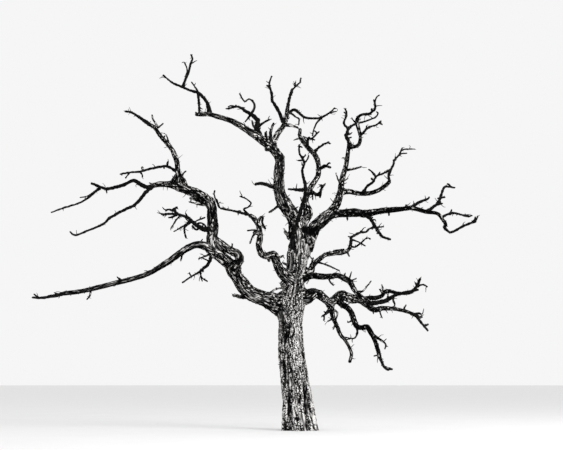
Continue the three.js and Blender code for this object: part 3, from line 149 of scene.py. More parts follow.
# How uneven a tube is, by one die for each ring of the solid
def lumpsFrom(dice, bends, steps):
    return [1 + growth["lump"] * (2 * dice() - 1) for _ in range(max(1, int(bends * steps)) + 1)]


# A tube to be: places evenly along the line, with half its thickness there. Where it has a parent, the collar
# swells it by a share that falls off with the distance from the parent's skin.
def tubeAlong(points, thick, cell, full=1.0, lumps=(1.0,), least=growth["leastThick"], parentRadius=None):
    span = len(points) - 1
    t = np.linspace(0, span, cut["perBend"] * span + 1)
    steps = np.linalg.norm(np.diff(placed(lineAt(points, t)), axis=0), axis=1)
    run = np.concatenate([[0], np.cumsum(steps)])
    even = np.linspace(0, run[-1], max(cut["leastRings"], int(run[-1] / cell)) + 1)
    along = np.interp(even, run, t)
    radii = radiusAt(thick, along / span, least) * readAt(lumps, along / span) * full
    if parentRadius is not None:
        radii = radii * (1 + growth["collar"] * np.exp(-np.maximum(0, even - parentRadius) / thick[0]))
        radii = np.where(even < parentRadius, np.minimum(radii, growth["withinParent"] * parentRadius), radii)
    return dict(centres=placed(lineAt(points, along)), radii=radii, run=even, cell=cell)


# One seeded twig: from a seeded place on the stem, partly along it and partly to a seeded side, with one kink
def seededTwig(points, reach, full, dice):
    t = (growth["fromShare"] + (1 - growth["fromShare"]) * dice()) * (len(points) - 1)
    start = lineAt(points, t)[0]
    after, before = min(t + growth["hair"], len(points) - 1), t - growth["hair"]
    ahead = unit(lineAt(points, after) - lineAt(points, before))[0]
    lean = unit(wayFrom(dice) + ahead * growth["follow"])
    long = reach * (growth["fromLong"] + (1 - growth["fromLong"]) * dice())
    turned = unit(wayFrom(dice) * growth["kink"] + lean)
    middle = start + lean * long / 2
    twig = np.array([start, middle, middle + turned * long / 2])
    lumps = lumpsFrom(dice, 2, growth["seededSteps"])
    return tubeAlong(twig, growth["twigThick"], cut["twigCell"], full, lumps, cut["finest"])


# Whether a limb carries its parent on at the tip, instead of leaving its side
def goesOn(parent, bendsAlong):
    return bendsAlong > len(pieces[parent]["bends"]) - growth["tipBends"]


# A piece: its stem from the place on its parent, its spurs, and its seeded twigs. A seeded twig that meets an
# earlier piece is left out.
def grow(name, plan):
    root, thick, full = plan.get("root"), plan["thick"], plan.get("fuller", 1.0)
    kind = "trunk" if root is None else "mass" if name.endswith("_twigs") else "limb"
    number = len(pieces) + 1
    dice = diceFrom(number * growth["firstSeed"])
    dice()  # the first is thrown away, as in the solids
    points, parentRadius = np.array(plan["bends"], float), None
    if root:
        parent, bendsAlong = pieces[root[0]], root[1]
        points = np.vstack([lineAt(parent["bends"], bendsAlong), points])
        if not goesOn(*root):
            parentRadius = float(radiusAt(parent["thick"], bendsAlong / (len(parent["bends"]) - 1)))
    cell = dict(trunk=cut["trunkCell"] * cut["ringShare"], limb=cut["limbCell"], mass=cut["twigCell"])[kind]
    least = cut["finest"] if kind == "mass" else growth["leastThick"]
    steps = growth["thickSteps"] if thick[0] > growth["thickLimb"] else growth["thinSteps"]
    lumps = lumpsFrom(dice, len(points) - 1, steps) if root else (1.0,)
    tubes = [tubeAlong(points, thick, cell, full, lumps, least, parentRadius)]
    for bendsAlong, thickness, *moves in plan.get("spurs", ()):
        start = lineAt(points, bendsAlong)
        spur = np.vstack([start, start + np.array(moves, float)])
        taper = (thickness, thickness * growth["spurTip"])
        lumps = lumpsFrom(dice, len(moves), 1)
        tubes.append(tubeAlong(spur, taper, cut["twigCell"], full, lumps, cut["finest"], thickness / 2))
    count, reach = plan.get("seeded", (0, 0))
    for _ in range(count):
        twig = seededTwig(points, reach, full, dice)
        if clearOfOthers(twig):
            tubes.append(twig)
    pieces[name] = dict(number=number, kind=kind, root=root, bends=points, thick=thick, tubes=tubes)


# How far places are from a tube's skin, by every fourth ring of it: the distance to its nearest stretch, less
# the radius there. The places are taken in batches that memory can hold.
def skinDistance(places, tube, every=4, batch=20000):
    centres, radii = tube["centres"][::every], tube["radii"][::every]
    if (len(tube["centres"]) - 1) % every:
        centres = np.vstack([centres, tube["centres"][-1]])
        radii = np.append(radii, tube["radii"][-1])
    start, step = centres[:-1], np.diff(centres, axis=0)
    lengths = np.maximum((step ** 2).sum(1), 1e-9)
    nearest = []
    for first in range(0, len(places), batch):
        offset = places[first : first + batch, None, :] - start
        t = np.clip((offset * step).sum(2) / lengths, 0, 1)
        apart = np.linalg.norm(offset - t[..., None] * step, axis=2) - (radii[:-1] + t * np.diff(radii))
        nearest.append(apart.min(1))
    return np.concatenate(nearest)


# True if no earlier piece comes within the twig's radius of its line
def clearOfOthers(twig):
    low, high = twig["centres"].min(0) - growth["near"], twig["centres"].max(0) + growth["near"]
    for piece in pieces.values():
        for tube in piece["tubes"]:
            isNear = ((tube["centres"] > low) & (tube["centres"] < high)).all(1).any()
            if isNear and (skinDistance(twig["centres"], tube) < twig["radii"]).any():
                return False
    return True


# Every piece, as in the solids but for a few places and spurs that follow the photo more closely: the bend of
# its parent that it leaves, how many seeded twigs it may have and how long, how much fuller than the solid it
# is with its bark, how thick it is along itself, its bends, and its spurs (where, how thick, its steps)
# The trunk to its fork, with the stubs of lost limbs
grow("trunk", dict(
    seeded=(2, 0.3),
    thick=(0.86, 0.73, 0.67, 0.61, 0.63, 0.51, 0.49, 0.32),
    bends=((0.01, 0, 0), (-0.06, 0.75, 0), (-0.15, 1.45, 0), (-0.24, 2.5, 0), (-0.22, 3.15, 0),
        (-0.13, 3.75, 0), (-0.04, 4.4, 0), (0.03, 4.95, 0)),
    spurs=((6.7, 0.2, (-0.2, 0, 0.06), (-0.28, 0.05, 0.06), (-0.4, 0.21, 0.06)),
        (5.6, 0.1, (-0.25, 0, 0.05), (-0.36, 0.05, 0.08)),
        (5, 0.34, (-0.2, -0.08, 0.06), (-0.36, -0.13, 0.1)),
        (5, 0.05, (0.33, 0.04, 0.1), (0.3, -0.1, 0.14)),
        (4.7, 0.06, (-0.41, -0.03, 0.12), (-0.62, -0.14, 0.2))),
))
# The left bough and what it carries
grow("left_bough", dict(
    root=("trunk", 4), seeded=(2, 0.22), fuller=1.05,
    thick=(0.38, 0.35, 0.33, 0.31, 0.3, 0.29, 0.27),
    bends=((-0.55, 3.15, 0.05), (-0.77, 3.26, 0.12), (-1.04, 3.35, 0.2), (-1.3, 3.48, 0.3),
        (-1.49, 3.71, 0.38), (-1.64, 3.95, 0.45), (-1.77, 4.16, 0.5), (-1.99, 4.35, 0.55),
        (-2.21, 4.52, 0.6)),
    spurs=((4, 0.09, (-0.14, -0.12, 0.02), (-0.38, -0.12, 0.05)),
        (8.8, 0.07, (-0.13, -0.1, -0.1), (-0.38, -0.2, -0.2))),
))
grow("left_upright", dict(
    root=("left_bough", 8.7), seeded=(2, 0.2), fuller=1.06,
    thick=(0.27, 0.26, 0.25, 0.24, 0.24, 0.23),
    bends=((-2.2, 4.73, 0.58), (-2.17, 5.03, 0.5), (-2.2, 5.36, 0.38), (-2.21, 5.58, 0.28),
        (-2.3, 5.79, 0.2)),
))
grow("left_loop", dict(
    root=("left_bough", 6.2), seeded=(1, 0.15),
    thick=(0.22, 0.21, 0.2, 0.19, 0.16),
    bends=((-1.58, 4.15, 0.7), (-1.51, 4.27, 0.78), (-1.56, 4.4, 0.75), (-1.7, 4.48, 0.68),
        (-1.91, 4.62, 0.6), (-2.18, 4.82, 0.52)),
    spurs=((4, 0.05, (0, 0.1, 0.02), (0.02, 0.2, 0.04)),),
))
grow("left_low_limb", dict(
    root=("left_bough", 8.6), seeded=(3, 0.18), fuller=1.06,
    thick=(0.21, 0.18, 0.16, 0.13, 0.11, 0.1, 0.09, 0.085),
    bends=((-2.45, 4.63, 0.75), (-2.78, 4.57, 0.95), (-3.34, 4.19, 1.35), (-3.89, 3.88, 1.7),
        (-4.82, 3.63, 2.3), (-5.45, 3.48, 2.7), (-5.91, 3.42, 3)),
    spurs=((2.3, 0.06, (-0.02, -0.12, 0), (-0.05, -0.26, 0)), (4.6, 0.05, (-0.13, 0.13, 0)),
        (5.6, 0.05, (-0.03, -0.16, 0), (-0.11, -0.27, 0.04))),
))
grow("crooked_arm", dict(
    root=("left_upright", 4.6), seeded=(3, 0.2), fuller=1.04,
    thick=(0.24, 0.25, 0.24, 0.21, 0.17, 0.14, 0.12, 0.11),
    bends=((-2.49, 5.87, 0.1), (-2.75, 5.98, -0.1), (-3, 6.08, -0.25), (-3.25, 6.14, -0.4),
        (-3.5, 6.15, -0.55), (-3.64, 6.12, -0.65), (-3.78, 6.07, -0.75)),
    spurs=((0.3, 0.08, (-0.05, -0.12, 0.05), (-0.27, -0.09, 0.1), (-0.46, -0.04, 0.15)),
        (3, 0.06, (0.03, 0.18, 0), (0.1, 0.36, 0), (0.17, 0.4, 0.02))),
))
grow("left_arc", dict(
    root=("crooked_arm", 3), seeded=(2, 0.15), fuller=1.28,
    thick=(0.12, 0.1, 0.09, 0.085, 0.08, 0.075, 0.065),
    bends=((-3.05, 6.46, -0.3), (-3.08, 6.72, -0.6), (-3.17, 6.97, -0.9), (-3.32, 7.17, -1.2),
        (-3.48, 7.35, -1.45), (-3.63, 7.56, -1.7), (-3.78, 7.66, -1.9)),
    spurs=((3.7, 0.04, (-0.03, 0.16, 0), (-0.08, 0.3, 0.05)),
        (5.8, 0.04, (0, 0.12, 0), (-0.08, 0.27, 0), (-0.1, 0.38, 0.05)),
        (5.9, 0.04, (0.1, 0.05, 0), (0.21, 0.14, 0))),
))
# The hooked limb in front, then the left leader and the top left limb
grow("hooked_limb_lower", dict(
    root=("trunk", 5), seeded=(2, 0.17), fuller=1.25,
    thick=(0.22, 0.19, 0.17, 0.15, 0.13, 0.12, 0.11),
    bends=((-0.42, 3.92, 0.35), (-0.55, 4.11, 0.7), (-0.63, 4.32, 1.05), (-0.67, 4.41, 1.2),
        (-0.85, 4.36, 1.3), (-0.99, 4.41, 1.4)),
    spurs=((4, 0.08, (0.13, -0.08, 0), (0.28, -0.04, 0)), (4.7, 0.09, (0.02, -0.1, 0), (0.03, -0.17, 0))),
))
grow("hooked_limb_upper", dict(
    root=("hooked_limb_lower", 5.8), seeded=(2, 0.15), fuller=1.25,
    thick=(0.11, 0.11, 0.11, 0.1, 0.09, 0.08, 0.065),
    bends=((-1.03, 4.6, 1.5), (-1, 4.78, 1.6), (-1, 4.95, 1.7), (-1.04, 5.13, 1.8), (-1.15, 5.3, 1.95),
        (-1.26, 5.38, 2.1)),
    spurs=((2.8, 0.04, (-0.15, -0.03, 0), (-0.26, -0.26, 0.04)),
        (3.1, 0.035, (-0.16, 0.04, 0), (-0.33, 0.02, 0.04)), (4.2, 0.04, (0.17, -0.1, 0)),
        (4.4, 0.04, (0.08, 0.14, 0))),
))
grow("left_leader", dict(
    root=("trunk", 6.3), seeded=(2, 0.2), fuller=1.16,
    thick=(0.36, 0.34, 0.3, 0.28, 0.28, 0.27, 0.24, 0.21, 0.21, 0.22),
    bends=((-0.05, 5.08, 0.08), (-0.13, 5.28, 0.12), (-0.27, 5.5, 0.18), (-0.41, 5.7, 0.22),
        (-0.5, 5.92, 0.27), (-0.52, 6.18, 0.33), (-0.53, 6.44, 0.38), (-0.5, 6.7, 0.43),
        (-0.52, 6.92, 0.48)),
    spurs=((3.6, 0.075, (-0.2, -0.03, 0), (-0.31, -0.11, 0), (-0.43, -0.18, 0.05)),
        (4.2, 0.05, (0.21, -0.15, 0.1), (0.3, -0.2, 0.15), (0.39, -0.15, 0.2)),
        (5.7, 0.08, (-0.2, 0.02, 0), (-0.37, 0.06, 0), (-0.63, 0.04, 0.05))),
))
grow("top_left_limb", dict(
    root=("left_leader", 8.6), seeded=(3, 0.17), fuller=1.16,
    thick=(0.21, 0.2, 0.17, 0.15, 0.13, 0.11, 0.095, 0.08, 0.07, 0.04),
    bends=((-0.72, 7.08, 0.65), (-0.96, 7.27, 0.85), (-1.26, 7.47, 1.15), (-1.51, 7.63, 1.4),
        (-1.75, 7.75, 1.6), (-2.05, 7.84, 1.85), (-2.26, 7.9, 2), (-2.51, 7.9, 2.2), (-2.61, 7.89, 2.3)),
    spurs=((0.85, 0.11, (-0.12, -0.02, 0), (-0.2, -0.04, 0)),
        (1.2, 0.06, (0, 0.12, 0), (0.05, 0.36, 0), (0.11, 0.55, 0.05)),
        (1.6, 0.05, (0.02, 0.12, 0), (0.02, 0.3, 0))),
))
grow("spire", dict(
    root=("top_left_limb", 1), seeded=(2, 0.15), fuller=1.2,
    thick=(0.13, 0.11, 0.1, 0.09, 0.08),
    bends=((-0.57, 7.39, 0.4), (-0.42, 7.6, 0.1), (-0.34, 7.81, -0.2), (-0.31, 8.05, -0.6)),
    spurs=((2.2, 0.075, (0.2, -0.03, 0.05), (0.37, -0.09, 0.1)),
        (3.5, 0.05, (0.09, 0, 0.05), (0.21, -0.09, 0.1), (0.3, -0.15, 0.15), (0.29, -0.31, 0.2))),
))
# The middle limb, between the two leaders
grow("middle_limb_lower", dict(
    root=("trunk", 6.8), seeded=(2, 0.17), fuller=1.06,
    thick=(0.24, 0.24, 0.25, 0.16, 0.13, 0.135, 0.12, 0.11),
    bends=((0.09, 5.18, -0.12), (0.2, 5.42, -0.2), (0.13, 5.73, -0.4), (0.22, 5.98, -0.6),
        (0.36, 6.21, -0.8), (0.45, 6.37, -1), (0.48, 6.61, -1.3)),
    spurs=((6.6, 0.04, (0.06, 0.02, 0), (0.18, 0.08, 0.1), (0.3, 0.04, 0.2)),),
))
grow("middle_limb_upper", dict(
    root=("middle_limb_lower", 6.8), seeded=(2, 0.15), fuller=1.06,
    thick=(0.11, 0.12, 0.12, 0.1, 0.09, 0.075),
    bends=((0.42, 6.81, -1.7), (0.3, 6.97, -2), (0.14, 7.14, -2.4), (0, 7.35, -2.9), (0.01, 7.53, -3.3)),
    spurs=((3.7, 0.035, (-0.07, 0, 0), (-0.2, -0.04, 0.05)),),
))
# The right leader and its limbs
grow("right_leader", dict(
    root=("trunk", 6), seeded=(2, 0.2), fuller=1.04,
    thick=(0.42, 0.38, 0.31, 0.28, 0.25),
    bends=((0.15, 4.78, -0.15), (0.41, 5.1, -0.25), (0.62, 5.31, -0.32), (0.84, 5.47, -0.4)),
))
grow("right_upright", dict(
    root=("right_leader", 3.7), seeded=(2, 0.17), fuller=1.04,
    thick=(0.22, 0.2, 0.16, 0.14, 0.125, 0.11, 0.1, 0.09),
    bends=((0.93, 5.68, -0.5), (1.01, 5.94, -0.65), (1.03, 6.13, -0.8), (1.08, 6.37, -1),
        (1.15, 6.61, -1.2), (1.19, 6.85, -1.4), (1.22, 7.07, -1.55)),
    spurs=((3.3, 0.05, (-0.09, 0.08, 0), (-0.15, 0.25, 0)), (3.4, 0.05, (0.1, 0.04, 0), (0.17, 0.09, 0)),
        (4.6, 0.075, (0.1, 0, 0.05), (0.25, 0.03, 0.1), (0.43, 0.08, 0.15)),
        (5.6, 0.05, (-0.07, 0.04, 0), (-0.13, 0.06, 0))),
))
grow("right_loop", dict(
    root=("right_upright", 6.95), seeded=(2, 0.14),
    thick=(0.09, 0.09, 0.085, 0.08, 0.09, 0.09, 0.07, 0.05),
    bends=((1.37, 7.09, -1.4), (1.48, 7.16, -1.25), (1.51, 7.33, -1.1), (1.48, 7.49, -1),
        (1.43, 7.68, -0.85), (1.44, 7.79, -0.8), (1.5, 7.87, -0.7), (1.61, 7.91, -0.6)),
    spurs=((5.2, 0.05, (-0.06, 0.01, 0), (-0.14, 0.11, 0)),),
))
grow("right_lower_arm", dict(
    root=("right_upright", 2.1), seeded=(2, 0.15), fuller=1.3,
    thick=(0.1, 0.09, 0.085, 0.08, 0.075, 0.07, 0.06),
    bends=((1.24, 5.97, -0.8), (1.43, 5.93, -0.95), (1.55, 5.92, -1.05), (1.76, 5.93, -1.25),
        (1.98, 6.01, -1.45), (2.16, 6.14, -1.65), (2.25, 6.23, -1.75)),
))
grow("right_bough_inner", dict(
    root=("right_leader", 3.6), seeded=(2, 0.18), fuller=1.07,
    thick=(0.2, 0.2, 0.19, 0.17, 0.14, 0.11, 0.09),
    bends=((1, 5.42, -0.35), (1.35, 5.44, -0.15), (1.65, 5.42, 0.1), (2.08, 5.49, 0.5), (2.51, 5.53, 0.95),
        (2.82, 5.57, 1.3)),
    spurs=((1.5, 0.05, (0.02, -0.19, 0)), (4.3, 0.05, (0.02, -0.15, 0)),
        (5.8, 0.045, (0.17, 0.13, 0), (0.39, 0.22, -0.1))),
))
grow("right_bough_outer", dict(
    root=("right_bough_inner", 5.9), seeded=(2, 0.14), fuller=1.15,
    thick=(0.085, 0.08, 0.075, 0.065, 0.055, 0.05, 0.045),
    bends=((3, 5.51, 1.5), (3.17, 5.46, 1.65), (3.43, 5.42, 1.85), (3.55, 5.29, 2), (3.64, 5.16, 2.1),
        (3.6, 5.05, 2.15)),
))
# Limbs that leave the trunk to the right, lowest last
grow("rising_limb", dict(
    root=("trunk", 5.35), seeded=(2, 0.15), fuller=1.35,
    thick=(0.16, 0.13, 0.1, 0.09, 0.08, 0.08, 0.075, 0.07, 0.065),
    bends=((0.24, 3.96, -0.12), (0.32, 4.13, -0.25), (0.49, 4.28, -0.45), (0.64, 4.39, -0.65),
        (0.84, 4.42, -0.9), (1.03, 4.44, -1.15), (1.18, 4.49, -1.35), (1.27, 4.6, -1.5)),
    spurs=((2, 0.04, (-0.01, 0.1, 0), (0.02, 0.2, 0)),
        (2.5, 0.035, (0.13, -0.03, 0.1), (0.33, -0.1, 0.2), (0.6, -0.22, 0.35)),
        (4.9, 0.035, (0.05, 0.07, 0), (0.3, 0.11, 0)), (6.9, 0.035, (0.08, -0.15, 0))),
))
grow("right_mid_limb", dict(
    root=("trunk", 5.05), seeded=(2, 0.15), fuller=1.12,
    thick=(0.17, 0.14, 0.13, 0.12, 0.12, 0.115, 0.11, 0.1, 0.1, 0.095, 0.09),
    bends=((0.28, 3.87, 0.2), (0.46, 3.85, 0.35), (0.71, 3.84, 0.55), (0.95, 3.87, 0.75), (1.1, 3.8, 0.88),
        (1.23, 3.73, 0.98), (1.3, 3.63, 1.05), (1.4, 3.46, 1.15), (1.56, 3.31, 1.25), (1.79, 3.16, 1.35)),
    spurs=((3, 0.04, (0.04, -0.12, 0), (0.14, -0.23, 0.04)), (5, 0.04, (0.04, 0.15, 0)),
        (5.9, 0.04, (0.03, 0.1, 0), (0.08, 0.24, 0)), (6.1, 0.04, (0.18, 0.08, 0)),
        (8.1, 0.045, (0.16, 0.04, 0), (0.28, 0.18, 0), (0.38, 0.3, 0.05))),
))
grow("low_right_bough_inner", dict(
    root=("trunk", 4.4), seeded=(2, 0.18), fuller=1.14,
    thick=(0.28, 0.25, 0.21, 0.19, 0.18, 0.19, 0.21, 0.22, 0.2, 0.17, 0.15),
    bends=((0.17, 3.34, 0), (0.34, 3.42, -0.1), (0.49, 3.39, -0.25), (0.61, 3.29, -0.4), (0.74, 3.2, -0.5),
        (0.89, 3.29, -0.6), (1.06, 3.37, -0.7), (1.28, 3.29, -0.8), (1.48, 3.27, -0.9), (1.65, 3.15, -1)),
))
grow("low_right_bough_outer", dict(
    root=("low_right_bough_inner", 9.8), seeded=(2, 0.14), fuller=1.14,
    thick=(0.14, 0.12, 0.1, 0.08, 0.07, 0.06),
    bends=((1.85, 3.02, -1.15), (2.05, 3.05, -1.3), (2.34, 3.04, -1.55), (2.59, 2.99, -1.8),
        (2.81, 2.92, -2)),
    spurs=((1.8, 0.05, (0, -0.1, 0), (0.06, -0.25, 0)), (4, 0.04, (0.03, 0.08, 0), (0.07, 0.16, 0))),
))
grow("upper_strand", dict(
    root=("low_right_bough_inner", 9.1), seeded=(2, 0.14), fuller=1.2,
    thick=(0.09, 0.085, 0.08, 0.08, 0.075, 0.07, 0.065, 0.06, 0.055),
    bends=((1.75, 3.31, -0.75), (1.89, 3.31, -0.6), (2.04, 3.36, -0.45), (2.12, 3.46, -0.35),
        (2.24, 3.48, -0.25), (2.44, 3.43, -0.05), (2.68, 3.43, 0.2), (2.83, 3.48, 0.35)),
    spurs=((3.2, 0.045, (0.02, 0.15, 0), (-0.02, 0.28, 0)), (3.4, 0.035, (-0.06, 0.1, 0), (-0.1, 0.14, 0))),
))
# The two that droop from the low right bough
grow("near_drooping_limb", dict(
    root=("low_right_bough_inner", 6.5), seeded=(2, 0.15), fuller=1.22,
    thick=(0.14, 0.13, 0.12, 0.11, 0.1, 0.1, 0.1, 0.1, 0.09, 0.085, 0.075, 0.06),
    bends=((1.03, 3.18, -0.45), (1.18, 3.07, -0.2), (1.28, 2.95, 0), (1.35, 2.75, 0.3), (1.43, 2.6, 0.5),
        (1.55, 2.57, 0.65), (1.68, 2.58, 0.8), (1.77, 2.45, 0.95), (1.87, 2.26, 1.1), (1.95, 2.01, 1.3),
        (2, 1.81, 1.4)),
    spurs=((3.8, 0.04, (-0.08, -0.07, 0), (-0.16, -0.09, 0)),
        (5, 0.045, (0, -0.18, 0), (-0.08, -0.3, 0), (-0.32, -0.27, 0)),
        (8.2, 0.05, (0.17, -0.12, 0.05), (0.35, -0.26, 0.1), (0.33, -0.4, 0.12)),
        (10.6, 0.04, (-0.15, -0.03, 0))),
))
grow("far_drooping_limb", dict(
    root=("low_right_bough_inner", 5), seeded=(2, 0.15), fuller=1.25,
    thick=(0.13, 0.11, 0.09, 0.07, 0.06, 0.055, 0.05, 0.06, 0.05),
    bends=((0.79, 3, -0.7), (0.84, 2.8, -0.9), (0.93, 2.6, -1.1), (1.01, 2.4, -1.25), (1.13, 2.26, -1.4),
        (1.23, 2.08, -1.55), (1.29, 1.91, -1.7), (1.24, 1.69, -1.85)),
    spurs=((0.9, 0.045, (0.1, -0.03, 0.05), (0.15, -0.12, 0.1), (0.1, -0.3, 0.15)),
        (2, 0.04, (-0.16, -0.08, 0)), (2.7, 0.04, (-0.08, -0.15, 0))),
))
# Masses of twigs on the left
grow("low_limb_tip_twigs", dict(
    root=("left_low_limb", 6.9), fuller=1.2,
    thick=(0.075, 0.05, 0.02),
    bends=((-6.38, 3.32, 3.2), (-6.71, 3.32, 3.3)),
    spurs=((0.3, 0.03, (-0.13, 0.06, 0)), (1.4, 0.03, (-0.14, 0.1, 0))),
))
grow("left_under_twigs", dict(
    root=("left_bough", 8.8), seeded=(4, 0.25), fuller=1.25,
    thick=(0.08, 0.065, 0.05, 0.04, 0.03, 0.02),
    bends=((-2.29, 4.16, 0.4), (-2.4, 4.06, 0.2), (-2.53, 3.95, 0), (-2.72, 3.84, -0.4),
        (-2.94, 3.69, -0.9)),
    spurs=((2.7, 0.035, (0.01, -0.14, 0), (0.05, -0.27, 0)),
        (2.8, 0.03, (0.05, -0.15, 0.05), (0.2, -0.26, 0.1))),
))
grow("left_tangle_twigs", dict(
    root=("left_upright", 1.9), seeded=(6, 0.28), fuller=1.2,
    thick=(0.1, 0.085, 0.07, 0.06, 0.05, 0.04, 0.02),
    bends=((-2.4, 5.03, 0.7), (-2.56, 5.11, 0.85), (-2.69, 5.22, 1), (-2.83, 5.33, 1.15),
        (-2.97, 5.38, 1.3), (-3.13, 5.41, 1.5), (-3.29, 5.41, 1.7), (-3.48, 5.4, 1.95)),
    spurs=((2.2, 0.04, (0, 0.1, 0), (0.23, 0.2, 0)),
        (3, 0.05, (-0.19, -0.14, 0), (-0.18, -0.3, 0), (-0.15, -0.43, 0.05)),
        (3.2, 0.04, (-0.2, -0.14, 0.1), (-0.45, -0.28, 0.2)),
        (5, 0.04, (-0.11, -0.11, 0), (-0.27, -0.35, 0))),
))
grow("left_arm_lower_twigs", dict(
    root=("crooked_arm", 6.1), fuller=1.18,
    thick=(0.085, 0.07, 0.06, 0.05, 0.04, 0.02),
    bends=((-3.86, 5.94, -0.5), (-4.11, 5.65, -0.3), (-4.37, 5.52, -0.1), (-4.72, 5.33, 0.25),
        (-4.92, 5.16, 0.5), (-5.33, 4.98, 0.85), (-5.62, 4.88, 1.1), (-5.76, 4.98, 1.2)),
))
grow("left_arm_tip_twigs", dict(
    root=("crooked_arm", 6.9), fuller=1.18,
    thick=(0.1, 0.09, 0.085, 0.08, 0.07, 0.065, 0.05),
    bends=((-3.91, 6.11, -0.8), (-4.09, 6.22, -0.9), (-4.19, 6.24, -0.95), (-4.42, 6.13, -1.1),
        (-4.8, 6.04, -1.3), (-4.97, 6.08, -1.4), (-5.22, 6.18, -1.6)),
    spurs=((5.2, 0.035, (0.02, -0.12, 0)),
        (6, 0.055, (-0.36, -0.29, -0.1), (-0.58, -0.41, -0.2), (-0.94, -0.52, -0.4), (-1.26, -0.64, -0.6)),
        (6.1, 0.035, (-0.3, -0.22, -0.05), (-0.52, -0.27, -0.1))),
))
grow("left_arc_side_twigs", dict(
    root=("left_arc", 1), seeded=(4, 0.21), fuller=1.3,
    thick=(0.06, 0.05, 0.045, 0.04, 0.03, 0.02),
    bends=((-3.27, 6.58, -0.2), (-3.42, 6.6, -0.1), (-3.73, 6.54, 0.1), (-3.99, 6.47, 0.3),
        (-4.24, 6.45, 0.5), (-4.51, 6.4, 0.7)),
    spurs=((5.1, 0.03, (-0.1, -0.16, 0)),),
))
grow("left_arc_tip_twigs", dict(
    root=("left_arc", 6.9), fuller=1.6,
    thick=(0.06, 0.045, 0.03, 0.02),
    bends=((-3.99, 7.81, -2.1), (-4.22, 7.95, -2.25), (-4.38, 7.97, -2.4)),
))
# Masses on the hooked limb and at the top left
grow("hooked_tip_twigs", dict(
    root=("hooked_limb_upper", 5.9), seeded=(5, 0.21), fuller=1.1,
    thick=(0.06, 0.05, 0.04, 0.035, 0.03, 0.02),
    bends=((-1.44, 5.43, 2.3), (-1.68, 5.49, 2.6), (-1.98, 5.55, 2.9), (-2.07, 5.7, 3.1),
        (-2.14, 5.86, 3.3)),
    spurs=(
        (0.2, 0.04, (-0.11, 0.14, 0.05), (0, 0.2, 0.1), (0.06, 0.3, 0.15), (-0.07, 0.41, 0.2),
            (-0.23, 0.47, 0.3)),),
))
grow("top_riser_twigs", dict(
    root=("top_left_limb", 7), fuller=1.27,
    thick=(0.08, 0.07, 0.06, 0.05, 0.04, 0.02),
    bends=((-2.3, 8.13, 1.95), (-2.36, 8.25, 1.9), (-2.53, 8.43, 1.8), (-2.75, 8.5, 1.65),
        (-2.93, 8.58, 1.55), (-3.2, 8.7, 1.4), (-3.43, 8.89, 1.2)),
    spurs=((3, 0.035, (0, -0.2, 0), (0.01, -0.4, 0)), (3.1, 0.035, (-0.03, 0.08, 0), (-0.17, 0.28, 0.05)),
        (5, 0.05, (0.08, 0.22, 0), (0.15, 0.38, 0), (0.19, 0.55, 0), (0.24, 0.7, 0), (0.2, 0.83, 0)),
        (5.05, 0.03, (0.12, 0.4, 0.02), (0.05, 0.62, 0.05))),
))
grow("top_upright_twigs", dict(
    root=("top_left_limb", 2.1), seeded=(5, 0.22), fuller=1.4,
    thick=(0.1, 0.09, 0.08, 0.07, 0.055, 0.04, 0.02),
    bends=((-1.08, 7.57, 0.8), (-1.05, 7.69, 0.7), (-1.08, 7.78, 0.6), (-1.22, 7.9, 0.4),
        (-1.38, 7.99, 0.2), (-1.54, 8.09, -0.1), (-1.78, 8.05, -0.5)),
    spurs=((0.8, 0.04, (-0.1, 0.1, 0), (-0.13, 0.24, 0)),
        (1.2, 0.045, (0.08, 0.02, 0), (0.23, 0.12, 0.05), (0.35, 0.17, 0.1)),
        (4, 0.045, (0.08, 0.15, 0), (0.06, 0.3, 0), (-0.05, 0.38, 0), (-0.17, 0.33, 0.05),
            (-0.3, 0.53, 0.1)),
        (4, 0.035, (-0.16, -0.2, 0.1))),
))
grow("spire_left_twigs", dict(
    root=("spire", 2.3), fuller=1.32,
    thick=(0.07, 0.06, 0.055, 0.045, 0.04, 0.025),
    bends=((-0.48, 7.87, 0.1), (-0.57, 8.05, 0.25), (-0.69, 8.24, 0.4), (-0.7, 8.39, 0.5),
        (-0.76, 8.57, 0.65), (-0.84, 8.63, 0.75)),
    spurs=((5, 0.035, (0, 0.12, 0), (0.06, 0.3, 0)),),
))
grow("spire_right_twigs", dict(
    root=("spire", 3.5), fuller=1.15,
    thick=(0.06, 0.055, 0.05, 0.045, 0.04, 0.02),
    bends=((-0.14, 8.01, -0.35), (0, 7.91, -0.1), (0.13, 7.82, 0.15), (0.29, 7.8, 0.4), (0.44, 7.8, 0.7),
        (0.55, 7.83, 0.9), (0.72, 7.92, 1.2), (0.88, 8.07, 1.5)),
    spurs=((6, 0.04, (-0.1, -0.11, 0), (-0.17, -0.22, 0), (-0.21, -0.34, 0), (-0.24, -0.48, 0.05)),
        (7.1, 0.03, (0.2, 0.05, 0.05))),
))
grow("spire_tip_twigs", dict(
    root=("spire", 3.9), seeded=(4, 0.2), fuller=1.32,
    thick=(0.07, 0.06, 0.05, 0.04, 0.02),
    bends=((-0.27, 8.25, -0.9), (-0.21, 8.48, -1.2), (-0.18, 8.53, -1.25), (0.02, 8.71, -1.6)),
))
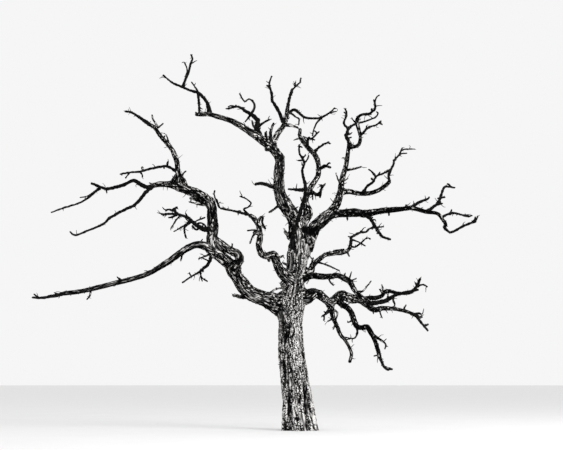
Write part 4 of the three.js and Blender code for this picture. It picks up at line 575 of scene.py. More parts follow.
# Masses between the leaders
grow("inner_spire_twigs", dict(
    root=("left_leader", 1.3), seeded=(4, 0.18), fuller=1.13,
    thick=(0.1, 0.09, 0.08, 0.07, 0.06, 0.05, 0.045, 0.035, 0.02),
    bends=((-0.02, 5.36, 0.5), (0.04, 5.58, 0.7), (0.13, 5.82, 0.95), (0.13, 6.14, 1.25),
        (0.08, 6.35, 1.5), (0.06, 6.52, 1.7), (0.11, 6.66, 1.85), (0.08, 6.77, 2), (-0.01, 6.93, 2.25),
        (-0.02, 7.14, 2.6)),
    spurs=((2.7, 0.035, (-0.06, 0, 0), (-0.1, 0.1, 0)), (3.6, 0.085, (-0.2, 0, 0), (-0.45, 0.01, 0)),
        (7.5, 0.035, (0.05, 0.01, 0), (0.1, 0.1, 0), (0.12, 0.18, 0)), (7.8, 0.03, (-0.16, 0, 0))),
))
grow("middle_right_twigs", dict(
    root=("middle_limb_lower", 3.5), seeded=(4, 0.17), fuller=1.25,
    thick=(0.06, 0.05, 0.045, 0.04, 0.03, 0.02),
    bends=((0.32, 5.93, -0.4), (0.41, 5.88, -0.2), (0.51, 5.89, 0), (0.53, 6.02, 0.15), (0.6, 6.12, 0.3)),
    spurs=((1, 0.035, (0, -0.18, 0)),),
))
grow("middle_side_twigs", dict(
    root=("middle_limb_upper", 1.7), seeded=(4, 0.18), fuller=1.25,
    thick=(0.055, 0.05, 0.04, 0.03, 0.02),
    bends=((0.41, 7.01, -1.9), (0.52, 7.1, -1.8), (0.68, 7.19, -1.6), (0.76, 7.16, -1.45)),
))
grow("middle_tip_twigs", dict(
    root=("middle_limb_upper", 2.8), seeded=(4, 0.2), fuller=1.25,
    thick=(0.055, 0.045, 0.035, 0.02),
    bends=((0.22, 7.31, -2.3), (0.29, 7.29, -2.2), (0.49, 7.48, -1.9)),
))
# Masses on the right leader and its bough
grow("right_upright_tip_twigs", dict(
    root=("right_upright", 6.9), seeded=(5, 0.2), fuller=1.3,
    thick=(0.08, 0.075, 0.06, 0.05, 0.04, 0.02),
    bends=((1.22, 7.22, -1.8), (1.15, 7.36, -2), (1.2, 7.53, -2.3), (1.1, 7.68, -2.5), (1.17, 7.9, -2.7),
        (1.12, 8.06, -2.8)),
    spurs=(
        (3, 0.045, (0.17, 0.13, -0.1), (0.31, 0.16, -0.2), (0.66, 0.28, -0.4), (0.75, 0.39, -0.45),
            (0.7, 0.44, -0.5)),),
))
grow("right_loop_side_twigs", dict(
    root=("right_loop", 3.3), seeded=(4, 0.17), fuller=1.3,
    thick=(0.05, 0.04, 0.035, 0.02),
    bends=((1.61, 7.46, -0.9), (1.66, 7.53, -0.8), (1.79, 7.6, -0.6), (1.9, 7.63, -0.4),
        (2.03, 7.73, -0.1)),
))
grow("right_loop_tip_twigs", dict(
    root=("right_loop", 7.9), seeded=(4, 0.17), fuller=1.3,
    thick=(0.05, 0.045, 0.04, 0.02),
    bends=((1.72, 7.91, -0.5), (1.81, 7.97, -0.45), (1.88, 8.04, -0.4), (1.87, 8.19, -0.3),
        (1.84, 8.28, -0.25)),
    spurs=((4, 0.03, (0.05, 0.14, 0), (0.13, 0.2, 0.05)),),
))
grow("right_arm_cross_twigs", dict(
    root=("right_lower_arm", 3.1), seeded=(4, 0.18), fuller=1.3,
    thick=(0.06, 0.05, 0.04, 0.03, 0.02),
    bends=((1.68, 6.1, -0.9), (1.83, 6.21, -0.75), (1.9, 6.34, -0.65), (2.05, 6.41, -0.5),
        (2.23, 6.48, -0.3)),
    spurs=((3, 0.035, (-0.11, 0.13, 0), (-0.2, 0.19, 0)),),
))
grow("right_arm_tip_twigs", dict(
    root=("right_lower_arm", 6.9), seeded=(4, 0.18), fuller=1.3,
    thick=(0.055, 0.05, 0.04, 0.03, 0.02),
    bends=((2.22, 6.36, -1.9), (2.27, 6.5, -2), (2.34, 6.65, -2.15), (2.37, 6.76, -2.25),
        (2.49, 6.91, -2.4), (2.56, 7.07, -2.6)),
    spurs=((5, 0.03, (0.1, 0.11, 0), (0.4, 0.12, 0.05)), (5, 0.03, (0.2, 0.02, 0))),
))
grow("right_bough_drooping_twigs", dict(
    root=("right_bough_inner", 2.95), seeded=(4, 0.18), fuller=1.3,
    thick=(0.08, 0.065, 0.05, 0.03),
    bends=((1.79, 5.25, 0.3), (1.92, 5.03, 0.5), (2.07, 4.84, 0.7), (2.28, 4.77, 0.9)),
))
grow("right_bough_upper_twigs", dict(
    root=("right_bough_outer", 2), seeded=(4, 0.2), fuller=1.4,
    thick=(0.05, 0.045, 0.035, 0.02),
    bends=((3.34, 5.59, 1.5), (3.47, 5.72, 1.35), (3.55, 5.94, 1.15), (3.64, 6.09, 1), (3.88, 6.06, 0.8)),
    spurs=((1.3, 0.03, (0.2, 0.05, 0)),),
))
grow("right_bough_mid_twigs", dict(
    root=("right_bough_outer", 3.8), seeded=(4, 0.2), fuller=1.35,
    thick=(0.04, 0.035, 0.02),
    bends=((3.81, 5.43, 1.8), (4.22, 5.34, 1.5)),
))
grow("right_bough_tip_twigs", dict(
    root=("right_bough_outer", 5.9), seeded=(4, 0.21), fuller=1.4,
    thick=(0.04, 0.035, 0.03, 0.02),
    bends=((3.79, 4.95, 2.3), (4.11, 5.12, 2.45), (4.42, 5.23, 2.6)),
))
# Masses low on the right
grow("rising_tip_twigs", dict(
    root=("rising_limb", 7.9), seeded=(4, 0.2), fuller=1.35,
    thick=(0.06, 0.05, 0.04, 0.03, 0.02),
    bends=((1.28, 4.75, -1.7), (1.29, 4.83, -1.8), (1.52, 4.95, -2.2), (1.64, 4.95, -2.4),
        (1.77, 5.05, -2.7), (2.1, 5.09, -3.3)),
    spurs=((0.1, 0.035, (0.11, -0.02, 0.1), (0.26, 0.08, 0.2), (0.41, 0.2, 0.35), (0.51, 0.17, 0.45)),
        (1.2, 0.03, (0.18, -0.06, 0), (0.37, -0.17, 0))),
))
grow("right_mid_tip_twigs", dict(
    root=("right_mid_limb", 9.9), seeded=(3, 0.2), fuller=1.4,
    thick=(0.085, 0.075, 0.06, 0.05, 0.04, 0.02),
    bends=((1.97, 3.2, 1.45), (2.17, 3.25, 1.55), (2.32, 3.34, 1.65), (2.47, 3.41, 1.75),
        (2.81, 3.49, 1.95), (2.94, 3.64, 2.05), (3.02, 3.81, 2.15)),
    spurs=((3, 0.035, (0.01, -0.1, 0), (0.05, -0.2, 0), (0, -0.33, 0)),
        (5, 0.035, (0.15, 0.12, 0), (0.28, 0.16, 0.05))),
))
grow("low_right_tip_twigs", dict(
    root=("low_right_bough_outer", 4.9), seeded=(3, 0.2), fuller=1.75,
    thick=(0.05, 0.045, 0.035, 0.02),
    bends=((2.91, 2.85, -2.1), (3.04, 2.68, -2.25), (3.21, 2.48, -2.45)),
    spurs=((0.5, 0.03, (0.12, 0.03, 0), (0.2, 0, 0)),),
))
grow("upper_strand_twigs", dict(
    root=("upper_strand", 7.9), seeded=(3, 0.2), fuller=1.4,
    thick=(0.05, 0.035, 0.02),
    bends=((2.96, 3.61, 0.5), (3.1, 3.65, 0.6)),
    spurs=((0.1, 0.03, (0.15, 0.02, 0)),),
))
grow("near_drooping_twigs", dict(
    root=("near_drooping_limb", 10.9), seeded=(3, 0.2), fuller=1.4,
    thick=(0.055, 0.035, 0.02),
    bends=((2.1, 1.59, 1.5), (2.22, 1.5, 1.6)),
))
grow("far_drooping_twigs", dict(
    root=("far_drooping_limb", 0.9), seeded=(4, 0.17), fuller=1.35,
    thick=(0.05, 0.035, 0.02),
    bends=((0.66, 2.92, -0.5), (0.54, 2.84, -0.3)),
))
print("grown:", len(pieces), "pieces of", sum(len(piece["tubes"]) for piece in pieces.values()), "tubes")

# The bark's relief in metres: furrows, plates, grain and slow lumps, and strips of bare wood where it has
# fallen. What lies deep, and what is bare, show in shares of the furrow and the bare wood.
relief = dict(
    furrowAcross=0.062, furrowAlong=0.36, furrowWidth=0.1, furrowDepth=0.017, furrowRest=0.3, furrowBare=0.75,
    plateAcross=0.045, plateAlong=0.09, plateDepth=0.0045, plateSteep=7,
    grainAcross=0.016, grainAlong=0.12, grainDepth=0.0025,
    lumpSize=0.3, lumpDepth=0.16, twigLumpSize=0.07, twigLumpDepth=0.5, warp=0.45, warpSize=0.3, twist=0.1,
    bareAcross=0.12, bareAlong=0.8, bareOver=0.16, bareEdge=0.07, barkThick=0.006,
    fullAtRadius=0.16, least=0.35, seedShift=0.37, tipLong=0.8, tipLeast=0.004,
)

# Painted light: which side is painted paler, as if lit, with the far side darker as painted shade, over what
# range, and how unevenly the random patches of bleaching show
paintedLightAndPatches = dict(side=(0.92, -0.25, 0.3), dark=-0.6, pale=0.25, patch=0.22, uneven=0.9)
# painted shade on thin limbs, by their radius
thinLimbShade = dict(thin=0.03, thick=0.11, shade=0.8)  # how much darker a thin limb is, by its radius in metres
# painted shade on a limb's flanks, turned away from this line through it
flankShade = dict(through=(0.0, 1.0, 0.13), turned=0.3, facing=0.85, shade=0.7)  # and on its flanks

# Limbs in painted shade, darker than the rest, and by how much of the painted light's range
shadedLimbs = dict(
    right_bough_inner=0.9, right_bough_outer=0.8, right_leader=0.2, right_upright=0.3, right_lower_arm=1.6,
    low_right_bough_inner=0.3, low_right_bough_outer=1.9, upper_strand=0.5, right_mid_limb=0.4,
    top_left_limb=0.4, left_low_limb=0.5, near_drooping_limb=1.0, far_drooping_limb=0.5,
)

# What the photo shows at a place on the wood. Each mark runs through [right, up] places on the sheet in
# metres, and gives how wide it is, then how much it bleaches there, with painted light, and below zero
# painted shade, how much it bares it, how much it darkens it with painted shade in hollows, slits and shaded
# sides, or how much it sinks the skin.
lowLimbRun = (
    (-2.45, 4.63), (-2.78, 4.57), (-3.34, 4.19), (-3.89, 3.88), (-4.82, 3.63), (-5.45, 3.48), (-5.91, 3.42),
)
marks = (
    # the fork: its hollow, darkened with painted shadow, smooth wood under it with ridges, a strip beside it,
    # a slit between, darkened with painted shade, its upper lip
    dict(run=((0.17, 5.02), (0.3, 4.98), (0.42, 5.04)), wide=0.12, dark=1.0, sink=0.1),
    dict(run=((0.2, 4.85), (0.2, 4.5)), wide=0.13, bare=1.0, bleachAndShading=-0.4),
    dict(run=((0.14, 4.7), (0.2, 4.82), (0.27, 4.82), (0.33, 4.88)), wide=0.02, bleachAndShading=1.2),
    dict(run=((0.2, 4.62), (0.25, 4.72), (0.31, 4.74), (0.36, 4.84)), wide=0.016, bleachAndShading=1.0),
    dict(run=((0.04, 5.25), (0.02, 4.95), (0.04, 4.7), (0.07, 4.4)), wide=0.08, bleachAndShading=1.4),
    dict(run=((0.125, 5.09), (0.12, 4.68)), wide=0.024, dark=1.0, sink=0.03),
    dict(run=((0.1, 5.24), (0.2, 5.14), (0.38, 5.14)), wide=0.024, bare=1.0, bleachAndShading=1.6),
    # the stub on the left of it, and the trunk's right edge, both darkened with painted shade
    dict(run=((-0.37, 5.02), (-0.27, 4.85), (-0.22, 4.6)), wide=0.08, dark=0.8),
    dict(run=((-0.18, 4.85), (-0.13, 4.6), (-0.1, 4.45)), wide=0.05, dark=0.8, sink=0.02),
    dict(run=((0.105, 4.2), (0.1, 3.7), (0.07, 3.4)), wide=0.035, bare=0.8, bleachAndShading=1.3),
    # the trunk's dim stretches, in painted shade
    dict(run=((-0.3, 4.3), (-0.35, 3.6), (-0.3, 2.9)), wide=0.17, bleachAndShading=-0.9),
    dict(run=((-0.02, 4.4), (-0.08, 3.5)), wide=0.12, bleachAndShading=-0.8),
    dict(run=((-0.02, 3.9), (-0.1, 2.8)), wide=0.22, bleachAndShading=-0.8),
    dict(run=((-0.1, 2.4), (-0.08, 0.6)), wide=0.22, bleachAndShading=-0.5),
    dict(run=((-0.45, 3.1), (-0.3, 2.95)), wide=0.1, dark=0.5),
    dict(run=((-0.39, 2.4), (-0.38, 1.9)), wide=0.03, dark=0.7),
    dict(run=((-0.43, 3.0), (-0.42, 2.0)), wide=0.06, dark=0.3),
    # its slits, darkened with painted shade, and pale strips, from the top to the foot
    dict(run=((-0.36, 2.2), (-0.34, 1.2), (-0.36, 0.3)), wide=0.12, bleachAndShading=1.2),
    dict(run=((-0.04, 4.15), (-0.07, 3.45)), wide=0.013, dark=0.6, sink=0.01),
    dict(run=((-0.14, 4.0), (-0.16, 3.5)), wide=0.016, dark=0.9, sink=0.015),
    dict(run=((0.03, 3.35), (-0.03, 3.0), (-0.06, 2.4), (-0.03, 1.7), (0.0, 1.0)), wide=0.12, bleachAndShading=0.6),
    dict(run=((-0.27, 2.66), (-0.3, 2.2)), wide=0.024, dark=1.0, sink=0.02),
    dict(run=((-0.42, 2.85), (-0.41, 2.5)), wide=0.05, dark=0.7),
    dict(run=((-0.42, 3.25), (-0.3, 3.1), (-0.2, 3.3)), wide=0.08, bleachAndShading=0.9),
    dict(run=((-0.41, 1.75), (-0.4, 1.1)), wide=0.02, dark=0.9, sink=0.02),
    dict(run=((-0.32, 1.85), (-0.32, 1.0), (-0.31, 0.4)), wide=0.02, dark=0.9, sink=0.015),
    dict(run=((-0.2, 2.0), (-0.2, 1.2), (-0.15, 0.4)), wide=0.07, bleachAndShading=0.9),
    dict(run=((-0.17, 1.65), (-0.16, 1.1), (-0.12, 0.5)), wide=0.018, bleachAndShading=1.2, bare=0.6),
    dict(run=((0.08, 1.45), (0.1, 0.8), (0.11, 0.3)), wide=0.02, bleachAndShading=1.2, bare=0.6),
    dict(run=((0.12, 1.05), (0.19, 0.4), (0.22, 0.0)), wide=0.03, dark=1.0, sink=0.03),
    dict(run=((0.22, 1.2), (0.28, 0.75), (0.38, 0.15)), wide=0.03, bleachAndShading=1.4, bare=0.7),
    # the left leader, with a run of painted shade down it, either side of the twig in front of it, and the
    # right leader, with a run of painted shade below a pale one
    dict(run=((-0.46, 6.85), (-0.45, 6.5), (-0.5, 6.2), (-0.43, 5.85), (-0.27, 5.5)), wide=0.045, dark=0.7),
    dict(run=((-0.6, 6.8), (-0.6, 6.2)), wide=0.05, bleachAndShading=0.6),
    dict(run=((-0.27, 5.72), (-0.16, 5.45), (-0.08, 5.2)), wide=0.05, bleachAndShading=1.0),
    dict(run=((0.16, 5.68), (0.3, 5.62), (0.28, 5.42)), wide=0.05, bleachAndShading=0.8),
    dict(run=((0.45, 5.0), (0.65, 5.2), (0.88, 5.4)), wide=0.06, dark=0.6, bleachAndShading=-0.5),
    dict(run=((0.45, 5.33), (0.63, 5.48), (0.83, 5.6)), wide=0.06, bleachAndShading=0.8, bare=0.5),
    # the left upright, dark on its right with painted shade, and a painted highlight on the elbow of the top
    # left limb
    dict(run=((-2.13, 5.65), (-2.1, 5.25), (-2.13, 4.88)), wide=0.06, dark=0.7),
    dict(run=((-2.25, 5.5), (-2.22, 5.0)), wide=0.1, bleachAndShading=-0.5),
    dict(run=((-2.2, 4.78), (-2.25, 4.6)), wide=0.08, bare=0.7, bleachAndShading=0.6),
    dict(run=((-0.78, 7.07), (-0.68, 6.98), (-0.58, 6.86)), wide=0.06, bleachAndShading=1.0),
    # the left low limb, smooth wood painted paler above as painted light and darker below as painted shade
    dict(run=lowLimbRun, wide=0.09, bare=0.9),
    dict(run=tuple((right - 0.02, up + 0.045) for right, up in lowLimbRun), wide=0.025, bleachAndShading=0.7),
    dict(run=tuple((right + 0.02, up - 0.055) for right, up in lowLimbRun), wide=0.03, dark=0.95),
)
# How far round from the front a mark reaches, how much smoother it leaves bare wood, and who bears marks
marking = dict(hidden=-0.5, seen=-0.1, smooths=0.8)
marked = (
    "trunk", "left_bough", "left_low_limb", "left_upright", "left_leader", "top_left_limb",
    "middle_limb_lower", "right_leader",
)

# Feet, knots, stubs and curls that the photo shows and the solids leave out, by the limb or the mass that
# each is joined to: how thick it is along its bends, and its bends
extras = dict(
    inner_spire_twigs=(  # the foot of the inner spire on the front of the trunk, and a bare stub behind it
        ((0.05, 0.05, 0.05, 0.06, 0.08, 0.085, 0.04), ((0.13, 5.95, 0.62), (0.07, 5.6, 0.64),
            (-0.03, 5.37, 0.58), (-0.1, 5.15, 0.42), (-0.155, 4.93, 0.3), (-0.2, 4.7, 0.24),
            (-0.17, 4.5, 0.2))),
        ((0.075, 0.065, 0.06, 0.065, 0.05), ((-0.58, 6.03, 0.35), (-0.75, 6.1, 0.35),
            (-0.95, 6.17, 0.38), (-1.08, 6.16, 0.38), (-1.14, 6.13, 0.38))),
    ),
    left_tangle_twigs=(
        ((0.04, 0.035, 0.03, 0.02), ((-3.07, 5.42, 1.45), (-3.17, 5.49, 1.4), (-3.3, 5.52, 1.4),
            (-3.37, 5.47, 1.4))),
        ((0.035, 0.03, 0.03, 0.02), ((-3.1, 5.42, 1.5), (-3.14, 5.54, 1.55), (-3.19, 5.49, 1.6),
            (-3.25, 5.52, 1.65))),
        ((0.03, 0.03, 0.02), ((-3.15, 5.5, 1.5), (-3.11, 5.56, 1.45), (-3.05, 5.58, 1.4))),
        ((0.035, 0.03, 0.02), ((-3.05, 5.4, 1.4), (-3.2, 5.33, 1.45), (-3.3, 5.32, 1.5))),
        ((0.035, 0.03, 0.03, 0.025, 0.015), ((-2.6, 5.13, 0.85), (-2.5, 5.19, 0.9), (-2.4, 5.15, 0.9),
            (-2.35, 5.07, 0.9), (-2.42, 5.0, 0.95))),
        ((0.03, 0.03, 0.02), ((-2.7, 5.12, 1.0), (-2.6, 5.02, 1.0), (-2.5, 5.05, 1.0))),
    ),
    left_bough=(
        ((0.12, 0.085, 0.07, 0.055), ((-1.35, 3.33, 0.3), (-1.5, 3.34, 0.32), (-1.6, 3.37, 0.34),
            (-1.7, 3.38, 0.35))),
    ),
    crooked_arm=(  # a flake under it
        ((0.12, 0.1, 0.06, 0.03), ((-2.3, 5.68, 0.12), (-2.42, 5.7, 0.12), (-2.57, 5.75, 0.15),
            (-2.77, 5.81, 0.2))),
    ),
    left_arc=(  # its foot, either side of its knot
        ((0.09, 0.11, 0.12), ((-3.08, 6.38, -0.3), (-3.19, 6.22, -0.3), (-3.32, 6.14, -0.35))),
        ((0.09, 0.11, 0.1), ((-3.01, 6.4, -0.25), (-2.92, 6.25, -0.2), (-2.84, 6.1, -0.15))),
    ),
    right_loop=(((0.075, 0.08, 0.08), ((1.24, 7.2, -1.62), (1.29, 7.12, -1.5), (1.37, 7.08, -1.4))),),
    top_riser_twigs=(((0.04, 0.04, 0.04), ((-2.55, 8.4, 1.85), (-2.52, 8.15, 2.1), (-2.51, 7.92, 2.2))),),
    top_upright_twigs=(
        ((0.08, 0.07, 0.06, 0.03), ((-0.74, 7.08, 0.68), (-0.735, 7.35, 0.68), (-0.73, 7.48, 0.68),
            (-0.65, 7.7, 0.72))),
        ((0.07, 0.06, 0.04), ((-0.86, 7.12, 0.75), (-0.85, 7.32, 0.75), (-0.86, 7.47, 0.75))),
    ),
    hooked_limb_upper=(((0.12, 0.12, 0.06), ((-1.0, 4.93, 1.7), (-1.1, 4.95, 1.72), (-1.17, 4.9, 1.74))),),
    hooked_tip_twigs=(
        ((0.045, 0.04, 0.04, 0.035, 0.03, 0.03), ((-1.05, 5.16, 1.8), (-1.015, 5.25, 1.82),
            (-0.98, 5.33, 1.85), (-0.925, 5.32, 1.85), (-0.945, 5.2, 1.85), (-0.855, 5.02, 1.85))),
    ),
    middle_limb_lower=(
        ((0.05, 0.05, 0.045, 0.04, 0.025), ((0.28, 6.0, -0.4), (0.4, 5.91, -0.2), (0.5, 5.95, 0.0),
            (0.54, 6.05, 0.1), (0.62, 6.15, 0.25))),
    ),
    middle_right_twigs=(((0.04, 0.035, 0.02), ((0.5, 5.95, 0.0), (0.51, 5.88, 0.0), (0.5, 5.8, 0.0))),),
    right_bough_upper_twigs=(
        ((0.07, 0.06, 0.05, 0.02), ((2.79, 5.57, 1.27), (2.96, 5.69, 1.26), (3.18, 5.78, 1.17),
            (3.24, 5.85, 1.15))),
    ),
    middle_side_twigs=(
        ((0.055, 0.05, 0.05, 0.03), ((0.52, 6.55, -1.25), (0.62, 6.62, -1.15), (0.7, 6.59, -1.1),
            (0.79, 6.57, -1.05))),
        ((0.04, 0.03, 0.02), ((0.66, 6.61, -1.1), (0.73, 6.68, -1.1), (0.77, 6.66, -1.1))),
    ),
)

# The trunk's form, as in the solid: root ridges that fade upwards, slow swells (waves round, turn in radians
# per metre of height, shift, share of the radius), and folds (the degrees each faces, its lowest and highest
# end, and its depth in metres), which are all as wide and wander to and fro together
trunkForm = dict(
    ridges=5, depth=0.13, turn=0.3, rise=0.55, lump=0.05,
    swells=((1, 3.4, 4.0, 0.02), (2, 1.3, 0.5, 0.035), (3, -2.2, 2.1, 0.03), (4, 1.7, 5.2, 0.02)),
    foldWidth=math.radians(9), foldFade=0.3, foldShade=0.5, wander=0.12, wanderRise=2.1,
    folds=((-60, 0.0, 1.6, 0.036), (-135, 0.0, 2.2, 0.034), (-105, 0.9, 2.9, 0.026), (-30, 1.2, 2.6, 0.022),
        (15, 0.0, 1.8, 0.034), (90, 0.0, 2.4, 0.036), (165, 0.0, 1.7, 0.034), (-165, 2.1, 3.3, 0.024),
        (-75, 3.1, 4.6, 0.026), (120, 1.4, 3.4, 0.03), (60, 2.0, 4.2, 0.03), (30, 2.9, 4.4, 0.022),
        (-120, 3.6, 4.7, 0.022)),
)


# Rings square to the line: ahead runs between places about a radius before and after, and side turns with it
# as little as it can. The trunk's rings lie level.
def framesAlong(tube, isLevel=False, reach=1.1):
    centres = tube["centres"]
    if isLevel:
        ahead = np.tile([0.0, 0.0, 1.0], (len(centres), 1))
        sides = np.tile([1.0, 0.0, 0.0], (len(centres), 1))
        return ahead, sides, np.cross(ahead, sides)
    i = np.arange(len(centres))
    w = max(1, int(reach * tube["radii"].mean() / tube["cell"]))
    ahead = unit(centres[np.minimum(i + w, i[-1])] - centres[np.maximum(i - w, 0)])
    side, sides = np.array([0.0, 1.0, 0.0]), []
    for way in ahead:
        side = unit(side - way * side.dot(way))
        sides.append(side)
    return ahead, np.array(sides), np.cross(ahead, sides)


# The relief at places in the bark's own measure: x and y round the limb and z along it. A furrow is where a
# noise stretched along the limb is near zero; a plate steps up or down with another; bare wood is where a
# third is high, and there the skin lies lower and keeps only its grain.
def barkOn(grain, radii, seed, lumpSize, lumpDepth):
    r = relief
    warped = grain + (r["warp"] * r["warpSize"] * noiseAt(grain / r["warpSize"], seed))[..., None] * (1, 1, 0)
    furrow = noiseAt(warped / (r["furrowAcross"], r["furrowAcross"], r["furrowAlong"]), seed + 1)
    furrow = np.exp(-(furrow / r["furrowWidth"]) ** 2)
    plate = noiseAt(warped / (r["plateAcross"], r["plateAcross"], r["plateAlong"]), seed + 2)
    fine = noiseAt(grain / (r["grainAcross"], r["grainAcross"], r["grainAlong"]), seed + 3)
    lump = noiseAt(grain / lumpSize, seed + 4)
    bare = noiseAt(warped / (r["bareAcross"], r["bareAcross"], r["bareAlong"]), seed + 5)
    bare = smoothStep(r["bareOver"], r["bareOver"] + r["bareEdge"], bare)
    bark = r["furrowDepth"] * (r["furrowRest"] - furrow) + r["plateDepth"] * np.tanh(r["plateSteep"] * plate)
    scale = np.clip(radii / r["fullAtRadius"], r["least"], 1)
    out = scale * ((1 - bare) * bark - bare * r["barkThick"] + r["grainDepth"] * fine)
    return out + lumpDepth * radii * lump, np.clip(furrow * (1 - r["furrowBare"] * bare), 0, 1), bare


# How far a limb's join runs up its neighbour, in shares of its radius at its root, how much of the reach it
# may raise, and how far off, in metres, a neighbour is looked for
join = dict(side=1.1, tip=0.35, sibling=0.7, most=0.3, near=0.7)


# How far a skin is raised where it nears a neighbour's, so that the two run into each other:
# a quarter of the reach, times one less the two gaps' difference over the reach, squared, worked out twice
def joinSwell(places, ways, neighbours):
    raised = np.zeros(len(places))
    for tube, reach in neighbours:
        low, high = tube["centres"].min(0) - join["near"], tube["centres"].max(0) + join["near"]
        near = np.flatnonzero(((places > low) & (places < high)).all(1))
        if len(near):
            near = near[np.abs(skinDistance(places[near], tube)) < reach]
        if not len(near):
            continue
        own, most = np.zeros(len(near)), join["most"] * reach
        for _ in range(2):
            gap = skinDistance(places[near] + ways[near] * own[:, None], tube)
            share = np.clip(1 - np.abs(own - gap) / reach, 0, 1)
            own = np.clip(own - (np.minimum(own, np.maximum(gap, 0)) - share ** 2 * reach / 4), 0, most)
        raised[near] = np.maximum(raised[near], own * smoothStep(-reach, -most, gap))
    return raised


# How far the trunk's skin stands out from its radius by its ridges and swells, less its folds, and how deep
# in a fold each place is, from 0 to 1
def trunkFormAt(angle, z, radii):
    f = trunkForm
    share = f["depth"] * np.cos(f["ridges"] * (angle + f["turn"])) * np.exp(-z / f["rise"])
    for waves, turn, shift, size in f["swells"]:
        share = share + size * np.sin(waves * angle + turn * z + shift)
    out, inFold = radii * share, 0 * share
    for facing, low, high, deepest in f["folds"]:
        faces = math.radians(facing) + f["wander"] * np.sin(f["wanderRise"] * z)
        apart = (angle - faces + math.pi) % (2 * math.pi) - math.pi
        rise = smoothStep(low - f["foldFade"], low + f["foldFade"], z)
        fall = 1 - smoothStep(high - 2 * f["foldFade"], high, z)
        fold = np.exp(-(apart / f["foldWidth"]) ** 2) * rise * fall
        out = out - deepest * fold
        inFold = np.maximum(inFold, fold)
    return out, inFold


# How strongly each mark lies on a place: with the distance d from the mark's run on the sheet, e to the minus
# (d over its width) to the fourth, on the front of the wood
def marksOn(skin, ways):
    tilt, eye = eyeView["lookUp"], np.array(eyeView["place"])
    sight = np.array([0.0, math.cos(tilt), math.sin(tilt)])
    rising = np.array([0.0, -math.sin(tilt), math.cos(tilt)])
    ray = skin - eye
    onSheet = eye + ray * (-eye @ sight / (ray @ sight))[..., None]
    spots = np.stack([onSheet[..., 0], onSheet @ rising], -1)
    inFront = smoothStep(marking["hidden"], marking["seen"], -(ways * unit(ray)).sum(-1))
    totals = {key: 0 * inFront for key in ("bleachAndShading", "bare", "dark", "sink")}
    for mark in marks:
        run = np.array(mark["run"])
        nearest = np.full(inFront.shape, np.inf)
        for start, step in zip(run[:-1], np.diff(run, axis=0)):
            t = np.clip((spots - start) @ step / (step @ step), 0, 1)
            nearest = np.minimum(nearest, np.linalg.norm(spots - start - t[..., None] * step, axis=-1))
        share = inFront * np.exp(-(nearest / mark["wide"]) ** 4)
        totals["bleachAndShading"] = totals["bleachAndShading"] + mark.get("bleachAndShading", 0) * share
        for key in ("bare", "dark", "sink"):
            totals[key] = np.maximum(totals[key], mark.get(key, 0) * share)
    return totals


# How pale each place is painted: paler on the lit side as painted light, with random patches of bleaching,
# and less with painted shade where the limb is dusky or thin and on its flanks
def paintedLightAndBleachOn(grain, radii, ways, seed, shade, isTrunk):
    patches = noiseAt(grain / paintedLightAndPatches["patch"], seed + 6)
    bleachAndPaintedLight = ways @ unit(np.array(paintedLightAndPatches["side"])) + paintedLightAndPatches["uneven"] * patches
    bleachAndPaintedLight = smoothStep(paintedLightAndPatches["dark"], paintedLightAndPatches["pale"], bleachAndPaintedLight) - shade
    bleachAndPaintedLight = bleachAndPaintedLight - thinLimbShade["shade"] * (1 - smoothStep(thinLimbShade["thin"], thinLimbShade["thick"], radii))
    if isTrunk:
        return bleachAndPaintedLight
    # painted shade on the flanks
    facing = np.abs(ways @ unit(np.array(flankShade["through"])))
    return bleachAndPaintedLight - flankShade["shade"] * (1 - smoothStep(flankShade["turned"], flankShade["facing"], facing))


# The faces of a closed tube, whose vertices are its rings, then the middle of its foot, then its tip
def tubeFaces(rings, around):
    i, j = np.meshgrid(np.arange(rings - 1), np.arange(around), indexing="ij")
    k = (j + 1) % around
    quads = np.stack([i * around + j, i * around + k, (i + 1) * around + k, (i + 1) * around + j], -1)
    j, k = j[0], k[0]
    foot, last = rings * around, (rings - 1) * around
    tris = np.vstack([np.stack([foot + 0 * j, k, j], 1), np.stack([last + j, last + k, foot + 1 + 0 * j], 1)])
    return quads.reshape(-1, 4), tris


# A measure given ring by ring as one list, with its mean at the foot and at the tip
def listed(grid):
    return np.concatenate([grid[:-1].ravel(), [grid[0].mean(), grid[-1].mean()]])


